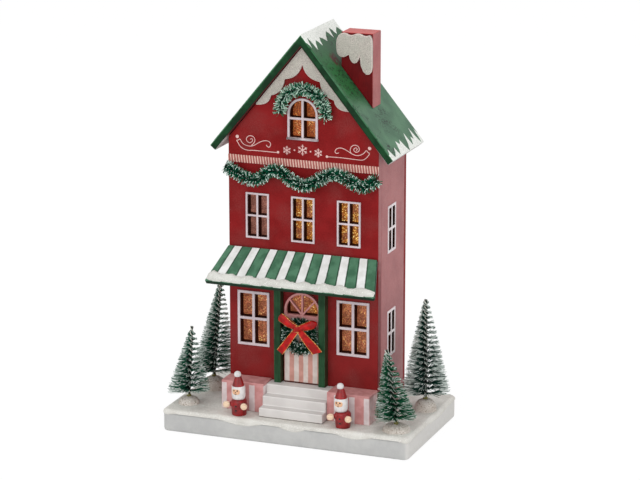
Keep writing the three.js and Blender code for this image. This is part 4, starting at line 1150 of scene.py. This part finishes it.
def tinsel(node, name, path, finishes, *, reach, count, seed, wall_y, frosted, width, flat=1.0):
    """Strands that reach out all round a wire along a path, none past the wall.

    frosted is the share of white strands, and flat presses all of them towards the wire's plane.
    """
    dice = random.Random(seed)
    lengths = [0.0]
    for start, end in zip(path, path[1:]):
        lengths.append(lengths[-1] + (end - start).length)
    masters = [strand_master(width * 0.8, width, bend, frost, 0.3, 4, 2)
               for bend in (-1.6, -0.5, 0.6, 1.7) for frost in (0.0, 0.5, 1.0)]
    plane = Matrix.Translation((0, path[0].y, 0))
    flatten = plane @ Matrix.Diagonal((1, flat, 1, 1)) @ plane.inverted()
    placements = []
    at = 0
    for i in range(count):
        distance = lengths[-1] * i / count
        while lengths[at + 1] < distance:
            at += 1
        share = (distance - lengths[at]) / (lengths[at + 1] - lengths[at])
        centre = path[at].lerp(path[at + 1], share)
        forward = (path[at + 1] - path[at]).normalized()
        side = forward.cross(Vector((0, 1, 0))).normalized()
        angle = i * GOLDEN_ANGLE + dice.gauss(0, 0.2)
        lean = max(-0.6, min(0.6, dice.gauss(0, 0.35)))
        heading = math.cos(angle) * side + math.sin(angle) * side.cross(forward) + forward * lean
        heading.normalize()
        length = reach * dice.uniform(0.78, 1.08)
        if heading.y > 0:
            length = min(length, (wall_y - centre.y) / heading.y)
        matrix = (flatten @ Matrix.Translation(centre) @ heading.to_track_quat("Z", "Y").to_matrix().to_4x4()
                  @ Matrix.Rotation(dice.uniform(0, 2 * math.pi), 4, "Z")
                  @ Matrix.Diagonal((1, 1, length, 1)))
        chance = dice.random()
        level = 2 if chance < frosted * 0.75 else 1 if chance < frosted else 0
        placements.append((3 * dice.randrange(4) + level, matrix))
    whole = joined([strands(masters, placements), coloured(swept(path, 0.7), 1)])
    piece(name, whole, finishes, "tinsel", node, crease=50)


def build_garlands():
    core = moulded("garland_wire", (26, 58, 46), (14, 36, 28))
    swag = bristle_finish("swag_green", (4, 34, 22), (2, 92, 64), (226, 246, 236), 0.66, 0.04)
    gable = bristle_finish("gable_green", (6, 44, 30), (24, 104, 74), (212, 238, 222), 0.5, 0.08)
    wreath = bristle_finish("wreath_green", (4, 18, 12), (8, 56, 36), (222, 238, 228), 0.7, 0.04)

    y = centre_of("swag_garland").y
    points = [Vector((HOUSE_X + share * SWAG_HALF, y, EAVES_Z - SWAG_BELOW_EAVES - dip * SWAG_DIP))
              for share, dip in SWAG_WAVES]
    tinsel("swag_garland", "swag_tinsel", smooth_path(points, 12), [swag, core], reach=6.9, count=2400, seed=11,
           wall_y=FRONT_Y - 1.0, frosted=0.42, width=0.42)

    y = centre_of("gable_garland").y
    arch = []
    for k in range(ARCH_STEPS + 1):
        angle = math.radians(ARCH_START - ARCH_SWEEP * k / ARCH_STEPS)
        arch.append(Vector((HOUSE_X + ARCH_CENTRE[0] + ARCH_RADIUS * math.cos(angle), y,
                            EAVES_Z + ARCH_CENTRE[1] + ARCH_RADIUS * math.sin(angle))))
    tinsel("gable_garland", "gable_tinsel", arch, [gable, core], reach=6.8, count=1000, seed=12,
           wall_y=FRONT_Y - 0.2, frosted=0.6, width=0.46)

    low, high = span("door_wreath")
    radius = (high.x - low.x) / 2 - WREATH_INSET
    ring = [(low + high) / 2 + wall_way(angle) * radius for angle in angles(48)]
    tinsel("door_wreath", "wreath_tinsel", ring, [wreath, core], reach=6.8, count=2250, seed=13, wall_y=high.y,
           frosted=0.26, width=0.3, flat=0.72)


# Bow: two flattened loops, two tails and a knot, of ribbon with gold edges
RIBBON_WIDTH = 7.0
BOW_LOOPS = [(151.5, 20, 0.6, 0.9), (20, 18.5, 3.4, 1.5)]
BOW_TAILS = [(-126.5, 30.5, 0.98, 0.3), (-49.5, 28.5, 1.35, 3.2)]
KNOT_ABOVE_WREATH = 9.2


def ribbon(path, width_at, across, columns=18, cup=0.35, shift=None):
    """A ribbon along a path: its edges gold, its middle cupped; shift moves points by their shares."""
    along_count = len(path) - 1

    def rule(across_share, along_share):
        at = along_share * along_count
        index = min(int(at), along_count - 1)
        point = path[index].lerp(path[index + 1], at - index)
        forward = (path[index + 1] - path[index]).normalized()
        offset = (across_share - 0.5) * width_at(along_share)
        point = point + across * offset + across.cross(forward) * cup * (1 - (2 * across_share - 1) ** 2)
        return point + shift(across_share, along_share) if shift else point

    shape = sheet(columns, along_count * 2, rule)
    for face in shape.faces:
        slants = [abs((edge.verts[0].co - edge.verts[1].co).normalized().dot(across))
                  for edge in face.edges if edge.is_boundary]
        face.material_index = int(any(slant < 0.7 for slant in slants))
    bmesh.ops.solidify(shape, geom=shape.faces[:], thickness=0.25)
    return shape


def bow_loop(knot, out, across, length, rounding, puff):
    """Out along the front, round the end and back along the door, puffed up and rounded at its end."""
    path = []
    for k in range(11):
        share = k / 10
        depth = 2.0 + 1.7 * math.sin(math.pi * min(1, share * 1.15))
        path.append(knot + out * (0.8 + (length - 2.2) * share) + Vector((0, -depth, 0)))
    for turn in angles(6, math.pi)[1:-1]:
        depth_here = (depth + 0.6) / 2 + (depth - 0.6) / 2 * math.cos(turn)
        path.append(knot + out * (length - 1.4 + 1.4 * math.sin(turn)) + Vector((0, -depth_here, 0)))
    for k in range(9):
        path.append(knot + out * (0.8 + (length - 2.2) * (1 - k / 8)) + Vector((0, -0.6, 0)))
    return ribbon(path, lambda s: RIBBON_WIDTH * (0.6 + 0.55 * math.sin(math.pi * min(1, s)) ** 0.8), across, 18,
                  -puff, lambda a, s: out * (-rounding * (2 * a - 1) ** 2 * max(0, math.sin(math.pi * s)) ** 3))


def bow_tail(knot, out, across, length, spread, cut):
    """A wavy tail that widens to its spread, with its end cut aslant."""
    path = [knot + out * (length * k / 14) + Vector((0, -1.1 - 0.7 * math.sin(k / 14 * 5.2), 0)) for k in range(15)]
    return ribbon(path, lambda s: RIBBON_WIDTH * (0.66 + (spread - 0.66) * min(1, s * 1.3) ** 0.7), across,
                  shift=lambda a, s: out * (cut * (a - 0.5) * s ** 5))


def build_bow():
    centre = centre_of("door_wreath")
    knot = Vector((centre.x + 0.2, span("door_bow")[1].y, centre.z + KNOT_ABOVE_WREATH))
    shapes = []
    for make, strips in ((bow_loop, BOW_LOOPS), (bow_tail, BOW_TAILS)):
        for angle, *sizes in strips:
            out = wall_way(math.radians(angle))
            shapes.append(make(knot, out, Vector((-out.z, 0, out.x)), *sizes))
    wrap = [knot + Vector((2.9 * math.cos(turn), -2.5 + 2.2 * math.sin(turn), 0.5 * math.cos(turn)))
            for turn in angles(16)]
    shapes.append(ribbon(wrap, lambda s: RIBBON_WIDTH * 0.8, Vector((0.12, 0, 1)).normalized(), 14, -0.5))
    piece("ribbon_bow", joined(shapes), [satin_finish(), gold_finish()], "satin_ribbon", "door_bow", crease=60)


# Ribbed strip across the front
RIB_PITCH = 2.65
RIB_DEPTH = 0.45


def build_trim():
    low, high = span("ribbon_trim")
    ribs = round((high.x - low.x) / RIB_PITCH)
    groove_y = low.y + 0.35

    def rule(across, along):
        x = low.x + across * (high.x - low.x)
        z = low.z + along * (high.z - low.z)
        wave = 0.5 + 0.5 * math.cos(2 * math.pi * (across * ribs + 0.35 * (along - 0.5)))
        return Vector((x, groove_y - RIB_DEPTH * wave, z + 0.15 * crumbs((x, 0, along * 3), 3)))

    shape = sheet(ribs * 6, 6, rule)
    rib = shape.verts.layers.float.new("rib")
    for vert in shape.verts:
        vert[rib] = (groove_y - vert.co.y) / RIB_DEPTH
    for vert in new_verts(bmesh.ops.extrude_edge_only(shape, edges=rim(shape))):
        vert.co.y = high.y
    bmesh.ops.recalc_face_normals(shape, faces=shape.faces)
    piece("ribbed_trim", shape, ribbed_finish(), "ribbed_ribbon", "ribbon_trim", crease=60)


# Painted on the gable: scrolls of dots, long curves and spirals on each side of three snowflakes. A dot or a
# snowflake is its place across and up the wall and its radius
SCROLL_RADIUS = 0.35
SCROLL_PROUD = 0.22
DOT_PROUD = 0.35
MIDDLE_DOTS = [(-5.2, 265.2, 0.8), (10.2, 265.2, 0.8)]
SNOWFLAKES = [(-12.5, 264.6, 4.0), (2.6, 266.0, 5.0), (17.7, 264.6, 4.0)]
SCROLL_DOTS = [(-60.8, 273.4, 1.6), (-21.1, 262.1, 1.2), (66.6, 272.8, 1.6), (26.0, 261.9, 1.2)]
SCROLL_LINES = [
    [(-61.4, 269.8), (-59.9, 267.5), (-58.2, 264.8), (-55.8, 263.0), (-53.1, 261.9), (-49.8, 261.5), (-44.7, 261.8),
     (-34.3, 261.8), (-23.3, 261.7), (-21.1, 262.1)],
    [(-61.4, 269.9), (-59.8, 270.2), (-58.1, 271.2), (-56.9, 269.4), (-55.5, 267.6), (-53.4, 266.3), (-51.0, 265.7),
     (-48.0, 265.5), (-44.4, 266.5), (-41.4, 268.4), (-37.8, 270.4), (-34.2, 271.6), (-31.0, 271.6), (-28.6, 270.1),
     (-28.3, 268.1), (-29.8, 266.0), (-31.6, 266.7), (-32.6, 267.9)],
    [(-46.8, 266.2), (-44.7, 268.5), (-43.5, 271.4), (-44.6, 274.1), (-47.3, 275.2), (-50.0, 274.5), (-51.8, 272.4),
     (-51.2, 269.9), (-48.6, 268.6), (-46.5, 269.7), (-45.7, 271.6), (-46.7, 272.5), (-48.2, 271.8)],
    [(26.0, 261.9), (36.7, 262.1), (47.7, 261.8), (58.8, 261.5), (62.6, 263.1), (65.1, 265.7), (66.6, 267.9)],
    [(66.6, 268.2), (64.8, 269.4), (63.4, 270.6), (61.7, 268.6), (58.8, 266.4), (54.5, 265.3), (50.3, 266.3),
     (46.9, 268.1), (42.6, 270.2), (38.4, 271.0), (35.0, 269.6), (33.7, 267.2), (35.1, 265.7), (37.4, 266.4)],
    [(49.4, 266.5), (48.2, 269.2), (49.0, 272.5), (51.9, 274.6), (55.3, 274.0), (56.9, 271.4), (55.8, 269.0),
     (53.5, 268.4), (51.7, 269.7), (52.1, 271.6), (54.0, 272.3), (54.9, 271.0), (53.8, 269.8)],
]


def painted_line(path, radius):
    """A raised line of paint on the front wall."""
    shape = swept(path, radius)
    for vert in shape.verts:
        vert.co.y = FRONT_Y + (vert.co.y - FRONT_Y) * SCROLL_PROUD / radius
    return shape


def painted_dot(x, z, radius):
    """A flattened drop of paint on the front wall."""
    shape = ball(radius, 20, 10)
    for vert in shape.verts:
        vert.co = (x + vert.co.x, FRONT_Y + vert.co.y * DOT_PROUD / radius, z + vert.co.z)
    return shape


def snowflake(x, z, radius):
    """Six painted arms, each with two small barbs."""
    shapes = []
    centre = Vector((x, FRONT_Y, z))
    for k in range(6):
        angle = math.radians(30 + 60 * k)
        arm = wall_way(angle) * radius
        shapes.append(painted_line([centre, centre + arm], 0.42))
        for side in (-1, 1):
            start = centre + arm * 0.55
            shapes.append(painted_line([start, start + wall_way(angle + side * 0.9) * radius * 0.34], 0.34))
    return shapes


def build_scrolls():
    shapes = [painted_dot(*dot) for dot in SCROLL_DOTS + MIDDLE_DOTS]
    for line in SCROLL_LINES:
        path = smooth_path([Vector((x, FRONT_Y, z)) for x, z in line], 4)
        shapes.append(painted_line(path, SCROLL_RADIUS))
    for flake in SNOWFLAKES:
        shapes += snowflake(*flake)
    cream = paint("scroll_cream", (236, 202, 196), (216, 176, 172), 0.55, (1, 1, 1), 0.2)
    piece("painted_scrolls", joined(shapes), cream, "frame_paint", crease=60)


# Peg figures: the radius and height of each turned part's outline, and plain faces made of dots. A face dot is its
# angle, height and size; a button its distance from the body's middle and its height
BODY = [(0, 0), (6.1, 0), (6.6, 0.3), (6.8, 0.9), (7.2, 9.4), (7.4, 12.3), (7.1, 13.6), (6.4, 14.5), (5.2, 15.0),
        (0, 15.1)]
ARM = [(0, 0), (3.1, 0), (3.2, 4.8), (3.0, 6.6), (2.5, 8.0), (1.7, 8.8), (0, 8.9)]
BEAD = [(0, 2.75), (0.9, 2.75), (1.0, 2.95), (1.5, 2.9), (2.2, 2.35), (2.85, 1.35), (3.1, 0), (2.85, -1.35),
        (2.2, -2.35), (1.2, -2.95), (0, -3.1)]
HEAD = [(0, 0), (4.9, 0), (5.5, 0.5), (6.05, 2.0), (6.3, 4.4), (6.3, 8.4), (6.15, 11.0), (5.8, 12.3), (5.2, 13.1),
        (0, 13.1)]
CAP = [(0, -0.9), (5.6, -0.9), (5.7, -0.4), (5.3, 0.6), (2.8, 8.1), (0, 8.6)]
HEAD_RADIUS = 6.3
BOBBLE = 3.2
BRIM = 5.6
FIGURES_OUT = 32.8
FACE_TURN = -4
FACE_HEIGHT = 8.1
FACE_HALF_ANGLE = 44
FACE_HALF_HEIGHT = 3.2
FACE_DOTS = [(-15, 9.1, 0.9), (15, 9.1, 0.9), (0, 7.6, 0.7), (-7, 6.2, 0.46), (-2.4, 5.7, 0.46), (2.4, 5.7, 0.46),
             (7, 6.2, 0.46)]
BUTTONS = [(6.75, 5.4), (6.95, 9.6)]


def build_figure(name, across, bobble_lean, red, white, skin, black, wood):
    """A bearded peg figure, across from the house's middle: body and arms, beads, head, face, dots and cap."""
    foot = Vector((HOUSE_X + across, FRONT_Y - FIGURES_OUT, span(name + "_body")[0].z))
    parts = [moved(turned(BODY, 44), place=foot)]
    for side in SIDES:
        node = f"{name}_hand_{side}"
        hand = centre_of(node)
        heading = math.atan2(hand.y - foot.y, hand.x - foot.x)
        parts.append(moved(turned(ARM, 28), tilt=math.pi / 2, turn=heading + math.pi / 2,
                           place=(foot.x, foot.y, hand.z)))
        bead = moved(turned(BEAD, 32), tilt=-math.pi / 2, turn=heading - math.pi / 2, place=hand)
        piece(node + "_bead", bead, wood, "bare_wood", node, crease=25)
    piece(name + "_suit", joined(parts), red, "figure_paint", name + "_body", crease=50)

    low, high = span(name + "_head")
    neck = Vector(((low.x + high.x) / 2, (low.y + high.y) / 2, low.z))
    scale = (high.z - low.z) / HEAD[-1][1]
    head = moved(turned([(radius, height * scale) for radius, height in HEAD], 48), place=neck)
    piece(name + "_beard", head, white, "figure_paint", name + "_head", crease=50)

    def on_head(angle, height, proud):
        """A point at degrees from the face's middle, at a height above the neck and that far proud."""
        radius = HEAD_RADIUS + proud - 0.2 * max(0, abs(height - 6.4) - 2) ** 2 / 4
        way = plan_way(math.radians(FACE_TURN + angle - 90))
        return neck + way * radius + Vector((0, 0, height * scale))

    def patch(across, along):
        x, y = across * 2 - 1, along * 2 - 1
        edge = min(1, (1 - max(abs(x), abs(y))) * 4)
        x, y = x * math.sqrt(1 - y * y / 2), y * math.sqrt(1 - x * x / 2)
        return on_head(x * FACE_HALF_ANGLE, FACE_HEIGHT + y * FACE_HALF_HEIGHT, -0.15 + 0.27 * edge)

    face = sheet(20, 12, patch)
    bmesh.ops.recalc_face_normals(face, faces=face.faces)
    outward = on_head(0, FACE_HEIGHT, 1) - on_head(0, FACE_HEIGHT, 0)
    if face.faces[:][len(face.faces) // 2].normal.dot(outward) < 0:
        bmesh.ops.reverse_faces(face, faces=face.faces[:])
    piece(name + "_face", face, skin, "figure_paint", crease=60)

    dots = [moved(ball(size, 12, 8), place=on_head(angle, height, -size * 0.45)) for angle, height, size in FACE_DOTS]
    for reach, height in BUTTONS:
        place = foot + plan_way(math.radians(FACE_TURN - 90)) * reach + Vector((0, 0, height))
        dots.append(moved(ball(1.0, 14, 10), place=place))
    piece(name + "_dots", joined(dots), black, "figure_paint", crease=60)

    low, high = span(name + "_hat")
    bobble = moved(ball(BOBBLE, 28, 18), place=(bobble_lean, 0, high.z - low.z - BOBBLE))
    brim = swept([plan_way(angle) * BRIM - Vector((0, 0, 1.1)) for angle in angles(40)[:-1]], 0.6, closed=True)
    hat = joined([turned(CAP, 40), coloured(bobble, 1), coloured(brim, 1)])
    moved(hat, place=((low.x + high.x) / 2, (low.y + high.y) / 2, low.z))
    piece(name + "_cap", hat, [red, white], "figure_paint", name + "_hat", crease=50)


def build_figures():
    finishes = [lacquer("suit_red", (150, 10, 16), (116, 6, 10)),
                lacquer("beard_white", (232, 229, 228), (216, 213, 213), 0.4),
                lacquer("face_peach", (238, 192, 156), (226, 174, 136), 0.42),
                lacquer("eye_black", (26, 20, 20), (14, 10, 10), 0.25), wood_finish()]
    build_figure("figure_left", -50.2, -0.6, *finishes)
    build_figure("figure_right", 51.1, -0.7, *finishes)


def build_holder():
    """Battery holder, cover, cells and switch in the back, and the lamps and glitter sheet inside."""
    black = moulded("holder_black", (34, 34, 37), (24, 24, 27))
    board("battery_box", 0.25, black, "holder_plastic")
    board("battery_lid", 0.25, black, "holder_plastic", body="battery_lid")
    board("switch_slider", 0.25, moulded("switch_white", (226, 223, 217), (208, 205, 200), 0.3), "switch_plastic",
          body="switch")
    jacket = cell_finish()
    for place in ("upper", "lower"):
        board(f"battery_cell_{place}", 0.4, jacket, "cell_jacket")
    board("led_strip", 0.1, moulded("lamp_white", (240, 232, 214), (222, 212, 190), 0.35), "lamp_board")
    board("lamp_lead", 0.05, moulded("lead_black", (30, 30, 32), (18, 18, 20), 0.5), "lead_jacket")
    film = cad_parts["glitter_film"]
    film.data.materials.clear()
    film.data.materials.append(film_finish().material)


def build_stage():
    """A white floor and backdrop, and three soft lights."""
    shape = bmesh.new()
    bmesh.ops.create_grid(shape, x_segments=1, y_segments=1, size=FLOOR_SIZE / 2)
    mesh = bpy.data.meshes.new("floor")
    shape.to_mesh(mesh)
    shape.free()
    floor = bpy.data.objects.new("floor", mesh)
    floor.location = (0, 0, -0.0002)
    scene.collection.objects.link(floor)
    white = Finish("floor_white", Roughness=0.9, Specular_IOR_Level=0.1)
    white.set("Base Color", srgb(236, 236, 236))
    seen = white.node("LightPath", output="Is Camera Ray") | white.node("LightPath", output="Is Glossy Ray")
    glow = white.node("Emission", None, {"Color": (1, 1, 1, 1), "Strength": WHITE_GLOW})
    mixed = white.node("MixShader", None, {0: seen * 0.88, 1: Wire(white, white.shader.outputs[0]), 2: glow})
    white.feed(white.tree.nodes["Material Output"].inputs["Surface"], mixed)
    mesh.materials.append(white.material)

    world = bpy.data.worlds.new("studio")
    scene.world = world
    world.use_nodes = True
    nodes, links = world.node_tree.nodes, world.node_tree.links
    background = nodes["Background"]
    background.inputs["Color"].default_value = (1, 1, 1, 1)
    path = nodes.new("ShaderNodeLightPath")
    seen = nodes.new("ShaderNodeMath")
    seen.operation = "MAXIMUM"
    links.new(path.outputs["Is Camera Ray"], seen.inputs[0])
    links.new(path.outputs["Is Glossy Ray"], seen.inputs[1])
    level = nodes.new("ShaderNodeMapRange")
    level.inputs["To Min"].default_value = 0.7
    level.inputs["To Max"].default_value = WHITE_GLOW
    links.new(seen.outputs[0], level.inputs["Value"])
    links.new(level.outputs[0], background.inputs["Strength"])

    target = (0, 0, 0.18)
    soft_light("front_light", (-0.4, -2.5, 0.75), target, 2.4, 22)
    soft_light("top_light", (0, -0.3, 2.2), target, 2.4, 9)
    soft_light("right_light", (2.3, -0.9, 0.9), target, 2.0, 11.5)


place_camera()
scene.view_settings.view_transform = "Standard"
build_stage()
build_walls()
build_roof()
build_frames()
build_porch()
build_awning()
build_base()
build_trees()
build_garlands()
build_bow()
build_trim()
build_scrolls()
build_figures()
build_holder()
